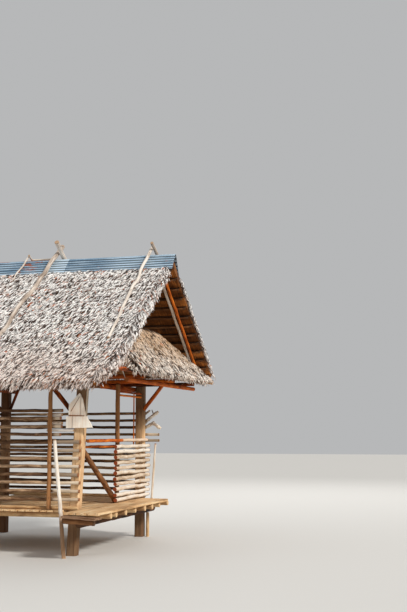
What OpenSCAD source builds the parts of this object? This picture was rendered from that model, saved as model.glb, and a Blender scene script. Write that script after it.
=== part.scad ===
/* [Posts] */
// Number of post bays along the ridge
bays = 1; // [1:1:3]
// Spacing of the post lines along the ridge
bay = 2320; // [2100:10:2600]
// Distance from the front posts to the back posts
depth = 2500; // [2300:10:2800]
// Side of a squared post
post_w = 135; // [120:5:190]
// Chamfer hewn along the edges of a post
post_cut = 18; // [10:1:30]
// Lean of the near corner post, in degrees
post_lean = 3; // [0:0.5:3.5]
// Distance that the near corner post stands inside the line of the others
near_in = 25; // [0:1:30]
// Diameter of the thin jamb post beside the side opening
jamb_d = 70; // [60:5:80]
// Distance from the near corner post to the jamb post
jamb_at = 1400; // [1300:10:1500]
// Diameter of a wall stud
stud_d = 60; // [50:5:70]
// Distance from a corner post to the stud beside it
stud_at = 330; // [300:10:450]

/* [Floor] */
// Height of the floor's top face above the ground
floor_h = 590; // [500:10:800]
// Width of a floor slat
slat_w = 88; // [70:1:100]
// Gap between two floor slats
slat_gap = 12; // [6:1:20]
// Thickness of a floor slat
slat_t = 25; // [18:1:30]
// Reach of the slats past the post lines
slat_lip = 200; // [180:5:240]
// Diameter of a floor joist
joist_d = 75; // [60:5:85]
// Number of joists between the front and back rows of posts
joists = 7; // [5:1:9]
// Reach of the joists past the plain gable
joist_lip = 230; // [220:10:300]
// Diameter of a bearer under the joists
bearer_d = 120; // [100:5:140]
// Diameter of the toe pole on the edge of the floor
toe_d = 45; // [40:1:50]

/* [Ledge] */
// Width of one ledge board
ledge_board_w = 146; // [120:1:160]
// Number of ledge boards
ledge_boards = 3; // [2:1:4]
// Thickness of a ledge board
ledge_t = 32; // [25:1:40]
// Gap between two ledge boards
ledge_gap = 9; // [5:1:15]
// Reach of the ledge in front of the front posts
ledge_front = 640; // [500:10:700]
// Distance from the front posts to the far end of the ledge
ledge_far = 2320; // [2000:10:2400]
// Sag of the cross board and its log at the near end of the ledge, in degrees
ledge_sag = 3; // [0:0.5:4]
// Diameter of the prop under the bearer that carries the ledge
prop_d = 50; // [44:2:70]

/* [Walls] */
// Diameter of a wall stick
stick_d = 50; // [42:1:56]
// Height of the lowest wall stick above the floor
stick_low = 135; // [120:5:180]
// Spacing of the wall sticks
stick_pitch = 105; // [95:1:115]
// Number of sticks in a full wall
stick_rows = 12; // [8:1:12]
// Number of front rows that reach the near corner post
stick_full_rows = 8; // [4:1:8]
// Reach of those rows past the line of the gable posts
stick_lip = 72; // [40:2:80]
// Diameter of a half wall stick
half_d = 61; // [54:1:62]
// Spacing of the half wall sticks
half_pitch = 75; // [75:0.5:85]
// Number of sticks in the half wall
half_rows = 11; // [7:1:11]
// Diameter of the handrail on the half wall
rail_d = 45; // [36:1:50]
// Diameter of the window bars
bar_d = 30; // [24:1:36]
// Diameter of the diagonal braces
brace_d = 62; // [50:1:70]

/* [Roof] */
// Height where the undersides of the two slopes meet
ridge_h = 4050; // [3900:10:4300]
// Pitch of the two slopes, in degrees
pitch = 36; // [33:0.5:38]
// Reach of the front eave past the front posts
front_over = 1440; // [1200:10:1500]
// Reach of the back eave past the back posts
back_over = 925; // [800:10:1100]
// Reach of the thatch past the gable posts
rake_over = 890; // [850:10:1200]
// Thickness of the thatch without its butts
thatch_t = 95; // [70:5:120]
// Height of the butt of one course
butt_t = 30; // [15:1:40]
// Spacing of the courses down the slope
course = 205; // [180:5:240]
// Width trimmed off each corner of the front eave
corner_trim = 60; // [20:10:240]
// Diameter of a batten under the thatch
batten_d = 28; // [22:1:34]
// Diameter of a rafter
rafter_d = 75; // [60:5:85]
// Diameter of the thin rafters outside the gables
rake_rafter_d = 45; // [38:1:55]
// Number of rafter spaces in one bay
rafter_spaces = 4; // [3:1:5]
// Distance from the gable posts to the thin rafters
rafter_out = 660; // [560:10:720]
// Diameter of a wall plate
plate_d = 120; // [100:5:130]
// Reach of the wall plates past the gable posts
plate_over = 300; // [285:5:310]
// Diameter of the ridge pole
ridge_d = 80; // [70:5:100]

/* [Ridge sheets] */
// Reach of the sheets past the gable posts
cap_over = 960; // [900:10:1020]
// Width of a sheet on each side of the ridge
cap_w = 520; // [420:5:600]
// Pitch of the corrugations
wave = 76; // [70:1:80]
// Half the height of a corrugation
wave_h = 9; // [6:0.5:10]
// Thickness of a sheet
sheet_t = 3; // [2:0.5:4]
// Radius of the bend over the ridge
bend_r = 140; // [130:5:160]
// Length of a whole sheet
sheet_len = 1940; // [1600:10:2200]
// Overlap of two sheets
sheet_lap = 290; // [100:10:320]
// Slant of the ends of the sheets, which lie askew, in degrees
sheet_slant = 10.5; // [0:0.5:12]

/* [Gable aprons] */
// Pitch of an apron, in degrees
apron_pitch = 48; // [45:0.5:50]
// Thickness of the apron thatch without its butts
apron_t = 58; // [50:1:70]
// Height of the butt of one apron course
apron_butt = 22; // [12:1:26]
// Distance from the gable posts to the top pole of an apron
apron_in = 250; // [240:5:270]
// Distance from the top pole to the eave pole of an apron
apron_run = 865; // [840:5:880]
// Length of the apron thatch down its slope
apron_len = 1000; // [960:5:1010]
// Reach of an apron past the front posts
apron_front = 380; // [300:10:400]
// Room between an apron and the rafters above it
apron_room = 120; // [0:10:140]
// Diameter of an apron rafter
apron_rafter_d = 40; // [34:1:46]
// Diameter of the apron poles and outriggers
outrigger_d = 60; // [50:1:66]
// Diameter of a tie beam
tie_d = 80; // [70:1:90]

/* [Loose poles] */
// Diameter of the thickest pole that weighs the ridge down
weight_d = 72; // [60:1:80]
// Diameter of the pole that leans on the front wall
lean_d = 56; // [45:1:60]
// Height of the leaning pole's top above the floor
lean_top = 880; // [850:10:1050]
// Distance of the leaning pole's foot in front of the front posts
lean_out = 310; // [250:10:350]
// Width of the boards on the corner post
board_w = 300; // [280:5:330]
// Height of the upper board on the corner post, up to its point
board_h = 430; // [380:5:460]
// Height of the lower board
board_low_h = 155; // [140:5:180]
// Thickness of those boards
board_t = 22; // [16:1:28]
// Distance from the tie beams down to the lower edge of the boards
board_drop = 610; // [560:10:660]
// Diameter of the crooked ends tied over the far corner
crook_d = 34; // [28:1:40]

/* [Hidden] */
$fn = 24;
// Clearance between a piece and what it is seated on
seat = 0.3;
// Gap left round a post where the floor slats meet it
post_gap = 10;
// Room left on each side of a stick that passes another
free = 8;
half_l = bays * bay / 2;
half_post = post_w / 2;
run_front = depth / 2 + front_over;
run_back = depth / 2 + back_over;
ridge_y = (run_front - run_back) / 2;
front_y = ridge_y - depth / 2;
back_y = ridge_y + depth / 2;
jamb_y = front_y + jamb_at;
// Heights of the floor frame, from the top down
joist_z = floor_h - slat_t - seat - joist_d / 2;
bearer_z = joist_z - joist_d / 2 - seat - bearer_d / 2;
// Depths of the roof frame under the thatch, square to the slope
batten_t = -seat - batten_d / 2;
rafter_t = batten_t - batten_d / 2 - seat - rafter_d / 2;
plate_t = rafter_t - rafter_d / 2 - seat - plate_d / 2;
ridge_pole_t = rafter_t - rafter_d / 2 - seat - ridge_d / 2;
plate_z = ridge_h - depth / 2 * tan(pitch) + plate_t / cos(pitch);
post_top = plate_z - plate_d / 2 - seat;
// Heights of the gable frame
apron_pole_z = plate_z + plate_d / 2 + seat + outrigger_d / 2;
apron_eave_x = half_l + apron_in + apron_run * cos(apron_pitch);
apron_eave_z = apron_pole_z - apron_run * sin(apron_pitch);
outrigger_z = apron_eave_z - outrigger_d - seat;
tie_z = outrigger_z - outrigger_d / 2 - seat - tie_d / 2;
jamb_top = outrigger_z - outrigger_d / 2 - seat;
board_z = tie_z - board_drop;
// Centre of the jamb posts, whose outer side is flush with the corner posts
jamb_x = half_l + half_post - jamb_d / 2;
ledge_x = half_l + half_post + post_gap;
ledge_w = ledge_boards * (ledge_board_w + ledge_gap) - ledge_gap;
// Wave of the ridge sheets: middle height over the slope and top of the thatch fill
cap_t = thatch_t + seat + wave_h;
cap_fill = (cap_t - bend_r) / cos(pitch) + bend_r - wave_h - seat;
sheet_top = cap_t + wave_h + 2 * sheet_t + 2 * seat;
weight_t = thatch_t + butt_t + seat;
rail_z = floor_h + half_rows * half_pitch + rail_d / 2 + 40;
half_z0 = floor_h + ledge_t - slat_t + half_d / 2 + free;
// Poles that weigh the ridge down: x at the ridge, drift, reach down, diameter
WEIGHTS = [
    [half_l - 0.388 * bay, 0.032 * bay, 0.767 * slope_len("front"), weight_d],
    [half_l + 0.61 * cap_over, 0.056 * bay, 0.722 * slope_len("front"), 0.7 * weight_d],
    [half_l - 0.595 * bay, 0.026 * bay, 1.24 * cap_w, 0.4 * weight_d],
    [-half_l - 0.5 * cap_over, -0.039 * bay, 0.707 * slope_len("front"), 0.8 * weight_d]
];

function side_sign(side) = side == "front" ? -1 : 1;
function run(side) = side == "front" ? run_front : run_back;
function slope_len(side) = run(side) / cos(pitch);
function wobble(seed, i, amount) = rands(-amount, amount, i + 1, seed)[i];
// Middle of the near corner post at height z
function near_x(z) = half_l - near_in + tan(post_lean) * (z - bearer_z);

// A straight tapered pole from a to b
module pole(a, b, d1, d2) {
    v = b - a;
    len = norm(v);
    translate(a)
        rotate([0, acos(v.z / len), atan2(v.y, v.x)])
            cylinder(h = len, d1 = d1, d2 = d2);
}

// Frame of a slope: x along the ridge, y down the slope, z square to it
module on_slope(side) {
    translate([0, ridge_y, ridge_h])
        mirror([0, side == "front" ? 1 : 0, 0])
            rotate([-pitch, 0, 0])
                children();
}

// A profile drawn in y and z, stretched along x
module along_x(from, to) {
    translate([from, 0, 0])
        rotate([90, 0, 90])
            linear_extrude(to - from)
                children();
}

module hewn_section(grow = 0) {
    h = half_post + grow;
    c = post_cut;
    polygon([
        [-h + c, -h], [h - c, -h], [h, -h + c], [h, h - c],
        [h - c, h], [-h + c, h], [-h, h - c], [-h, -h + c]
    ]);
}

// A post on the ground, cut level under the plate; lean turns it about the bearer
module post(x, y, lean = 0, grow = 0) {
    translate([x, y, 0])
        intersection() {
            translate([0, 0, bearer_z])
                rotate([0, lean, 0])
                    translate([0, 0, -bearer_z - post_w])
                        linear_extrude(post_top + 2 * post_w)
                            hewn_section(grow);
            translate([-2 * post_w, -2 * post_w, 0])
                cube([4 * post_w, 4 * post_w, post_top]);
        }
}

function post_x(i) = -half_l + i * bay;
function post_lean_at(i) = i == bays ? post_lean : 0;

module front_posts(grow = 0) {
    color("#a07a54")
        for (i = [0:bays])
            post(post_x(i) - (i == bays ? near_in : 0), front_y, post_lean_at(i), grow);
}

module back_posts(grow = 0) {
    color("#6f5237")
        for (i = [0:bays])
            post(post_x(i), back_y, 0, grow);
}

module jamb(side, grow = 0) {
    translate([side * jamb_x, jamb_y, floor_h + seat - grow])
        cylinder(h = jamb_top - floor_h - seat + 2 * grow, d = jamb_d + 2 * grow);
}

module jamb_posts() {
    color("#8a6444")
        for (side = [-1, 1])
            jamb(side);
}

// Sticks lie on the outer faces of the front posts, and the studs outside the sticks
stick_face = half_post + seat;
stud_y = front_y - stick_face - stick_d - seat - stud_d / 2;

module front_studs() {
    color("#7d5b3d")
        for (side = [-1, 1])
            translate([side * (half_l - stud_at), stud_y, floor_h + seat])
                cylinder(h = tie_z - floor_h, d = stud_d);
}

module wall_plates() {
    color("#7a5636")
        for (y = [front_y, back_y])
            pole([-half_l - plate_over, y, plate_z], [half_l + plate_over, y, plate_z],
                 plate_d, plate_d);
}

function tie_x(i) = post_x(i) + (2 * i > bays ? -1 : 1) * (half_post + seat + tie_d / 2);

module tie(i, grow = 0) {
    pole([tie_x(i), front_y - 150, tie_z], [tie_x(i), back_y + 150, tie_z],
         tie_d + 2 * grow, tie_d + 2 * grow);
}

module tie_beams() {
    color("#8a5a34")
        for (i = [0:bays])
            tie(i);
}

function outrigger_y(k) = [front_y + half_post + seat + outrigger_d / 2,
                           jamb_y,
                           back_y - half_post - seat - outrigger_d / 2][k];

module outrigger(k, grow = 0) {
    pole([-apron_eave_x - 70, outrigger_y(k), outrigger_z],
         [apron_eave_x + 70, outrigger_y(k), outrigger_z],
         outrigger_d + 2 * grow, outrigger_d + 2 * grow);
}

module outriggers() {
    color("#9a6236")
        for (k = [0:2])
            outrigger(k);
}

// Braces from the posts up to the plates, and out to the outriggers
module knee_braces() {
    foot_z = tie_z - 340;
    near_foot_z = foot_z - 136;
    color("#8f5c33") {
        difference() {
            union() {
                for (i = [0:bays - 1])
                    pole([post_x(i) + 30, front_y, foot_z],
                         [post_x(i) + 480, front_y, plate_z + 20], brace_d, 0.9 * brace_d);
                pole([post_x(bays) + 20, front_y, near_foot_z],
                     [post_x(bays) - 1010, front_y, plate_z + 20], brace_d, 0.9 * brace_d);
                for (i = [0:bays - 1])
                    pole([post_x(i) + 30, back_y, foot_z],
                         [post_x(i) + 480, back_y, plate_z + 20], brace_d, 0.9 * brace_d);
            }
            front_posts(seat);
            back_posts(seat);
            for (i = [0:bays])
                tie(i, seat);
            for (y = [front_y, back_y])
                pole([-half_l - bay, y, plate_z], [half_l + bay, y, plate_z],
                     plate_d + 2 * seat, plate_d + 2 * seat);
        }
        for (side = [-1, 1])
            difference() {
                pole([side * (half_l + 20), back_y - 20, tie_z - 330],
                     [side * (half_l + 400), outrigger_y(2), outrigger_z + 30],
                     0.9 * brace_d, 0.8 * brace_d);
                back_posts(seat);
                outrigger(2, seat);
                tie(side < 0 ? 0 : bays, seat);
                translate([-3 * half_l, -3 * depth, outrigger_z])
                    cube([6 * half_l, 6 * depth, depth]);
            }
    }
}

function bearer_x(i) = post_x(i) + (2 * i > bays ? 1 : -1) * (half_post + seat + bearer_d / 2);

module floor_bearers() {
    color("#6b4b30")
        for (i = [0:bays])
            pole([bearer_x(i), front_y - slat_lip, bearer_z],
                 [bearer_x(i), back_y + slat_lip, bearer_z], bearer_d, bearer_d);
}

joist_edge = half_post + seat + joist_d / 2;
joist_in = half_post + seat + joist_d;
function joist_y(k) =
    k == 0 ? front_y - joist_edge :
    k == joists + 1 ? back_y + joist_edge :
    front_y + joist_in + (k - 1) * (depth - 2 * joist_in) / (joists - 1)
    + (k == 1 || k == joists ? 0 : wobble(12, k, 60));
// The joist behind the back posts stops short of the ledge's outer side
function joist_end(k) = ledge_x + ledge_w - (k > joists ? 180 : 20) - wobble(11, k, 18);

module floor_joists() {
    color("#a5835d")
        for (k = [0:joists + 1])
            pole([-half_l - joist_lip, joist_y(k), joist_z], [joist_end(k), joist_y(k), joist_z],
                 joist_d, joist_d);
}

slat_span = 2 * (half_l + half_post + 5);
slats = floor((slat_span + slat_gap) / (slat_w + slat_gap));
slat_step = (slat_span - slat_w) / (slats - 1);
function slat_x(k) = -slat_span / 2 + slat_w / 2 + k * slat_step;
function near_any(x) = min([for (p = concat([near_x(floor_h)], [for (i = [0:bays]) post_x(i)])) abs(x - p)]);
function slat_hits(x) = near_any(x) < half_post + slat_w / 2 + post_gap;

module floor_slats() {
    color("#c4a070")
        for (k = [0:slats - 1]) {
            reach = slat_hits(slat_x(k)) ? -half_post - post_gap : slat_lip + wobble(21, k, 12);
            translate([slat_x(k) - slat_w / 2, front_y - reach, floor_h - slat_t])
                cube([slat_w, depth + 2 * reach, slat_t]);
        }
}

module toe_poles() {
    z = floor_h + seat + toe_d / 2;
    y = half_post + seat + toe_d / 2;
    color("#b39468")
        for (side = [-1, 1])
            pole([-half_l - 60, (side < 0 ? front_y : back_y) + side * y, z],
                 [half_l + 60, (side < 0 ? front_y : back_y) + side * y, z], toe_d, toe_d);
}

// Frame of the sagging near end: x along the cross board, top of that board at zero height
module on_ledge_end() {
    translate([ledge_x, front_y - ledge_front, floor_h - slat_t - seat])
        rotate([0, ledge_sag, 0])
            children();
}

module side_ledge() {
    color("#c9a573") {
        for (k = [0:ledge_boards - 1]) {
            near = front_y - ledge_front + 75 + wobble(14, k, 15);
            translate([ledge_x + k * (ledge_board_w + ledge_gap), near, floor_h - slat_t])
                cube([ledge_board_w, front_y + ledge_far - 30 * k - near, ledge_t]);
        }
        on_ledge_end()
            translate([0, -45, -ledge_t])
                cube([ledge_w, 240, ledge_t]);
    }
}

module ledge_header() {
    color("#5f432b")
        on_ledge_end()
            pole([-10, 60, -ledge_t - seat - joist_d / 2],
                 [ledge_w - 40, 60, -ledge_t - seat - joist_d / 2], joist_d, 0.9 * joist_d);
}

module ledge_prop() {
    color("#a98a62")
        pole([bearer_x(bays), back_y, 0],
             [bearer_x(bays), back_y, bearer_z - bearer_d / 2 - seat], prop_d, prop_d);
}

// Place, diameter and height of the two ends of one stick in a row
function stick_ends(from, to, z, d, seed, i) = [
    [from + wobble(seed + 1, i, 14), d * (1 + wobble(seed, 2 * i, 0.08)), z + wobble(seed + 3, 2 * i, 7)],
    [to + wobble(seed + 2, i, 14), d * (1 + wobble(seed, 2 * i + 1, 0.08)),
     z + wobble(seed + 3, 2 * i + 1, 7)]
];
// The same stick at place x
function stick_at(ends, x) = ends[0] + (ends[1] - ends[0]) * (x - ends[0].x) / (ends[1].x - ends[0].x);

// A row of sticks on one face: along x when axis is "x", else along y
module stick_row(axis, from, to, face, out, z, d, seed, i) {
    ends = stick_ends(from, to, z, d, seed, i);
    a = ends[0].x;
    b = ends[1].x;
    d1 = ends[0][1];
    d2 = ends[1][1];
    z1 = ends[0][2];
    z2 = ends[1][2];
    p1 = face + out * d1 / 2;
    p2 = face + out * d2 / 2;
    if (axis == "x")
        pole([a, p1, z1], [b, p2, z2], d1, d2);
    else
        pole([p1, a, z1], [p2, b, z2], d1, d2);
}

function stick_z(i) = floor_h + stick_low + i * stick_pitch;

wall_stick_d = 0.92 * stick_d;
wall_from = -half_l - 60;
// A thin rail reaches the corner post in the highest gap between two rows under the boards there
thin_d = 0.6 * stick_d;
thin_row = floor((board_z - free - thin_d / 2 - stick_z(0)) / stick_pitch - 0.5);
thin_z = stick_z(thin_row) + stick_pitch / 2;
function front_to(i) =
    i < min(stick_full_rows, thin_row + 1) ? half_l + stick_lip : half_l - stud_at + 140;
function front_stick(i, x) = stick_at(stick_ends(wall_from, front_to(i), stick_z(i), wall_stick_d, 31, i), x);

module front_wall() {
    color("#8c6a4a")
        for (i = [0:stick_rows - 1])
            stick_row("x", wall_from, front_to(i), front_y - stick_face, -1, stick_z(i),
                      wall_stick_d, 31, i);
}

// The rows beside the last full one run past the far corner, the rest stop at it
function back_to(i) = abs(i - stick_full_rows + 0.5) < 1 ? half_l + 270 : half_l + 60;
function back_stick(i, x) = stick_at(stick_ends(wall_from, back_to(i), stick_z(i), wall_stick_d, 51, i), x);

module back_wall() {
    color("#8a6a4a")
        for (i = [0:stick_rows - 1])
            stick_row("x", wall_from, back_to(i), back_y + stick_face, 1, stick_z(i),
                      wall_stick_d, 51, i);
}

module left_wall() {
    color("#866548")
        for (i = [0:stick_rows - 1])
            stick_row("y", front_y - 40, back_y + 40, -half_l - stick_face, -1,
                      stick_z(i), wall_stick_d, 61, i);
}

// Short sticks on the upper rows of the front wall, and the thin rail from there to the post
module front_offcuts() {
    d = 0.8 * stick_d;
    x1 = half_l - stud_at - 70;
    x2 = half_l - stud_at + 150;
    color("#c9ac88") {
        for (i = [stick_full_rows + 1:stick_rows - 2])
            if (i != thin_row) {
                low = front_stick(i, x1);
                high = front_stick(i, x2);
                pole([x1, front_y - stick_face - d / 2, low[2] + (low[1] + d) / 2 + seat],
                     [x2, front_y - stick_face - d / 2, high[2] + (high[1] + d) / 2 + seat], d, d);
            }
        stick_row("x", half_l - stud_at - 60, half_l - 10, front_y - stick_face, -1,
                  thin_z, thin_d, 81, 0);
    }
}

// A pole with one knee, thickened at the knee
module bent_pole(a, b, c, d) {
    pole(a, b, d, 0.95 * d);
    translate(b)
        sphere(d = 1.1 * d);
    pole(b, c, 0.95 * d, 0.75 * d);
}

// Bent branches on the outer side of two back sticks, where these pass the far corner post
module crooked_ends() {
    low = stick_full_rows + 1;
    z = stick_z(low);
    d_low = back_stick(low, half_l)[1];
    d_high = back_stick(low + 1, half_l)[1];
    y = back_y + stick_face + seat + crook_d / 2;
    color("#d6c3a6") {
        translate([half_l, y + max(d_low, d_high), z])
            bent_pole([-75, 0, -25], [85, 0, 125], [240, 0, 240], crook_d);
        translate([half_l, y + d_low, z])
            bent_pole([-20, 0, -32], [165, 0, 65], [285, 0, -15], crook_d);
    }
}

module half_wall() {
    color("#d9c5a8")
        for (i = [0:half_rows - 1])
            stick_row("y", jamb_y - 250, back_y + 120, half_l + stick_face, 1,
                      half_z0 + i * half_pitch, half_d * 0.92, 71, i);
}

module handrail() {
    color("#b0622c")
        pole([half_l + stick_face + rail_d / 2 + 50, front_y + 10, rail_z],
             [half_l + stick_face + rail_d / 2, back_y + 60, rail_z], rail_d, rail_d);
}

rail2_z = rail_z - 80;
module opening_rail(grow = 0) {
    color("#b0622c")
        difference() {
            pole([jamb_x, front_y, rail2_z], [jamb_x, jamb_y, rail2_z],
                 0.8 * rail_d + 2 * grow, 0.8 * rail_d + 2 * grow);
            front_posts(seat);
            jamb(1, seat);
        }
}

module opening_brace() {
    color("#8e5533")
        difference() {
            pole([jamb_x, front_y + 40, rail2_z - 20], [jamb_x, jamb_y - 20, floor_h + 20],
                 brace_d, brace_d);
            front_posts(seat);
            jamb(1, seat);
            pole([jamb_x, front_y - 50, rail2_z], [jamb_x, jamb_y + 50, rail2_z],
                 0.8 * rail_d + 2 * seat, 0.8 * rail_d + 2 * seat);
            translate([0, front_y, floor_h + seat - 200])
                cube([2 * half_l, depth, 200]);
            translate([0, front_y, rail2_z])
                cube([2 * half_l, depth, 400]);
        }
}

module window_bars() {
    color("#9c6a3e") {
        difference() {
            for (k = [0:1])
                pole([jamb_x, jamb_y, tie_z - tie_d / 2 - 30 - 52 * k],
                     [jamb_x, back_y, tie_z - tie_d / 2 - 30 - 52 * k], bar_d, bar_d);
            jamb(1, seat);
            back_posts(seat);
        }
        pole([jamb_x - bar_d / 2 - seat - 0.35 * bar_d, jamb_y + 0.7 * (back_y - jamb_y), rail_z - 120],
             [jamb_x - bar_d / 2 - seat - 0.35 * bar_d, jamb_y + 0.7 * (back_y - jamb_y), tie_z - 60],
             0.7 * bar_d, 0.7 * bar_d);
    }
}

// A stake on the last joist, leaning outwards, up to the back stick that runs past the corner
module corner_stake() {
    foot = [half_l + stick_face + half_d + 0.35 * stick_d + free, back_y + joist_edge, floor_h - slat_t];
    rise = stick_z(stick_full_rows - 1) - stick_d / 2 - 2 * free - foot.z;
    up = [0.07 * rise, 0, rise];
    color("#cbb28c")
        intersection() {
            pole(foot - 0.1 * up, foot + up, 0.7 * stick_d, 0.6 * stick_d);
            translate([half_l, back_y, floor_h - slat_t])
                cube([bay, depth, ridge_h]);
        }
}

// Two thin rafters lie outside the gable with the ledge, and one outside the other gable
rake_rafter_xs = [-half_l - rafter_out, half_l + rafter_out,
                  half_l + rafter_out + rake_rafter_d + 2 * free];

// A rafter under the battens runs from the ridge to just above the eave
module rafter(side, x, d) {
    t = batten_t - batten_d / 2 - seat - d / 2;
    on_slope(side)
        pole([x, (d / 2 - t) * tan(pitch) + 2 * seat, t], [x, slope_len(side) - 170, t], d, d);
}

module rafters(side) {
    for (k = [0:rafter_spaces * bays])
        rafter(side, -half_l + k * bay / rafter_spaces, rafter_d);
    for (x = rake_rafter_xs)
        rafter(side, x, rake_rafter_d);
}

module rafters_front() {
    color("#8a5a34")
        rafters("front");
}

module rafters_back() {
    color("#8a5a34")
        rafters("back");
}

module ridge_pole() {
    color("#7a5636")
        pole([-half_l - rafter_out - 120, ridge_y, ridge_h + ridge_pole_t / cos(pitch)],
             [half_l + rafter_out + 160, ridge_y, ridge_h + ridge_pole_t / cos(pitch)],
             ridge_d, ridge_d);
}

eave_tip = 60;
function laths(side) = floor((slope_len(side) - eave_tip - 140) / course);
function lath_s(side, k) = slope_len(side) - eave_tip - (laths(side) - k) * course;

module battens(side) {
    on_slope(side)
        for (k = [0:laths(side)])
            pole([-half_l - rake_over + 30, lath_s(side, k), batten_t],
                 [half_l + rake_over - 30, lath_s(side, k), batten_t], batten_d, batten_d);
}

module battens_front() {
    color("#9a6c3f")
        battens("front");
}

module battens_back() {
    color("#9a6c3f")
        battens("back");
}

// Outline of a thatched slope: saw teeth over the battens, butts on top
lath_flat = 12;
tooth = 20;
tip_t = 30;
function ridge_point(t, z) = [(seat / 2 - t * sin(pitch)) / cos(pitch), t];
function butts(side) = floor((slope_len(side) - cap_w - 40) / course);
function thatch_profile(side) = concat(
    [ridge_point(0, 0)],
    [for (k = [0:laths(side)]) each [
        [lath_s(side, k) - lath_flat, k == 0 ? 0 : tooth],
        [lath_s(side, k) - lath_flat + 0.5, 0],
        [lath_s(side, k) + lath_flat, 0]
    ]],
    [[slope_len(side), tip_t]],
    [for (k = [0:butts(side) - 1]) each [
        [slope_len(side) - 25 - k * course, thatch_t + butt_t],
        [slope_len(side) - 25 - (k + 1) * course + 0.5, thatch_t]
    ]],
    [[bend_r * tan(pitch) - cap_t * tan(pitch), thatch_t],
     [-cap_fill * sin(pitch) + seat / 2 * cos(pitch), cap_fill * cos(pitch)]]
);

module thatch(side) {
    on_slope(side)
        difference() {
            along_x(-half_l - rake_over, half_l + rake_over)
                polygon(thatch_profile(side));
            if (side == "front")
                for (s = [-1, 1])
                    translate([0, 0, -tooth])
                        linear_extrude(2 * thatch_t)
                            polygon([
                                [s * (half_l + rake_over + 1), slope_len(side) - 900],
                                [s * (half_l + rake_over + 1), slope_len(side) + 1],
                                [s * (half_l + rake_over - corner_trim), slope_len(side) + 1]
                            ]);
        }
}

module thatch_front() {
    color("#cfc0ae")
        thatch("front");
}

module thatch_back() {
    color("#b89a78")
        thatch("back");
}

// Point of a bent sheet at arc length a from the ridge, lift above the middle of the wave
bend_half = bend_r * pitch * PI / 180;
bend_z = ridge_h + (cap_t - bend_r) / cos(pitch);
function bent(a, lift) =
    let (turn = min(pitch, abs(a) / bend_r * 180 / PI),
         past = max(0, abs(a) - bend_half),
         r = bend_r + lift)
    [sign(a) * (r * sin(turn) + past * cos(pitch)), r * cos(turn) - past * sin(pitch)];
wave_steps = 8;
waves = round(cap_w / wave);
function wave_line(lift) = [
    for (i = [-waves * wave_steps:waves * wave_steps])
        bent(i * wave / wave_steps, lift + wave_h * cos(360 * i / wave_steps))
];
function reversed(p) = [for (i = [len(p) - 1:-1:0]) p[i]];

cap_end = half_l + cap_over;
sheets = ceil((2 * cap_end - sheet_lap) / (sheet_len - sheet_lap));
function sheet_right(i) = cap_end - i * (sheet_len - sheet_lap);

module ridge_sheets() {
    reach = cap_w + wave;
    slant = reach * tan(sheet_slant);
    color("#7f93a6")
        for (i = [0:sheets - 1]) {
            lift = (i % 2) * (sheet_t + seat);
            from = max(-cap_end, sheet_right(i) - sheet_len);
            to = sheet_right(i);
            translate([0, ridge_y, bend_z])
                intersection() {
                    along_x(from - slant - wave, to + slant + wave)
                        polygon(concat(wave_line(lift), reversed(wave_line(lift + sheet_t))));
                    translate([0, 0, -reach])
                        linear_extrude(2 * reach)
                            polygon([
                                [from + slant, -reach], [to + slant, -reach],
                                [to - slant, reach], [from - slant, reach]
                            ]);
                }
        }
}

// Short ones lie on the sheets, long ones on the butts of the thatch
function weight_base(w) = w[2] < 2 * cap_w ? sheet_top : weight_t;

module weight_pole(side, w, shift) {
    on_slope(side)
        pole([w[0] + shift - 0.1 * w[1], -w[3] * 5, weight_base(w) + w[3] / 2],
             [w[0] + shift + w[1], side == "front" ? w[2] : 0.8 * w[2], weight_base(w) + 0.375 * w[3]],
             w[3], 0.75 * w[3]);
}

module ridge_weights_front() {
    color("#cdbfb0")
        for (w = WEIGHTS)
            weight_pole("front", w, 0);
}

module ridge_weights_back() {
    color("#b9a690")
        for (w = WEIGHTS)
            weight_pole("back", w, w[3] + 6);
}

module ridge_stick() {
    r = 0.17 * weight_d;
    z = bend_z + bend_r + wave_h + 2 * sheet_t + 2 * seat + r;
    color("#c9b49a")
        pole([WEIGHTS[2][0] + 60, ridge_y, z], [WEIGHTS[0][0] - 60, ridge_y, z], 2 * r, 1.8 * r);
}

// Frame of an apron: x down its slope from the top pole, z square to it
module on_apron(side) {
    mirror([side < 0 ? 1 : 0, 0, 0])
        translate([half_l + apron_in, 0, apron_pole_z])
            rotate([0, apron_pitch, 0])
                children();
}

apron_rafter_t = outrigger_d / 2 + seat + apron_rafter_d / 2;
apron_under = apron_rafter_t + apron_rafter_d / 2 + seat;
function apron_rafter_y(k) = front_y + 60 + k * (depth - 120) / 4;
// Short rafters at the two ends of an apron: place and start down its slope
apron_end_rafters = [[front_y - 280, 440], [back_y + 270, 600]];

module apron_poles(side) {
    color("#b0622c") {
        on_apron(side) {
            pole([0, front_y - 35, 0], [0, back_y + 35, 0], outrigger_d, outrigger_d);
            pole([apron_run, front_y - 790, 0], [apron_run, back_y + 780, 0],
                 outrigger_d, outrigger_d);
            for (k = [0:4])
                pole([-40, apron_rafter_y(k), apron_rafter_t],
                     [apron_run + 70, apron_rafter_y(k), apron_rafter_t],
                     apron_rafter_d, apron_rafter_d);
            for (r = apron_end_rafters)
                pole([r[1], r[0], apron_rafter_t], [apron_run + 70, r[0], apron_rafter_t],
                     apron_rafter_d, apron_rafter_d);
        }
        pole([side * (apron_eave_x - 40), front_y - 300, outrigger_z - outrigger_d - seat],
             [side * (apron_eave_x - 40), back_y + 250, outrigger_z - outrigger_d - seat],
             outrigger_d, outrigger_d);
    }
}

module apron_poles_right() {
    apron_poles(1);
}

module apron_poles_left() {
    apron_poles(-1);
}

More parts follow.
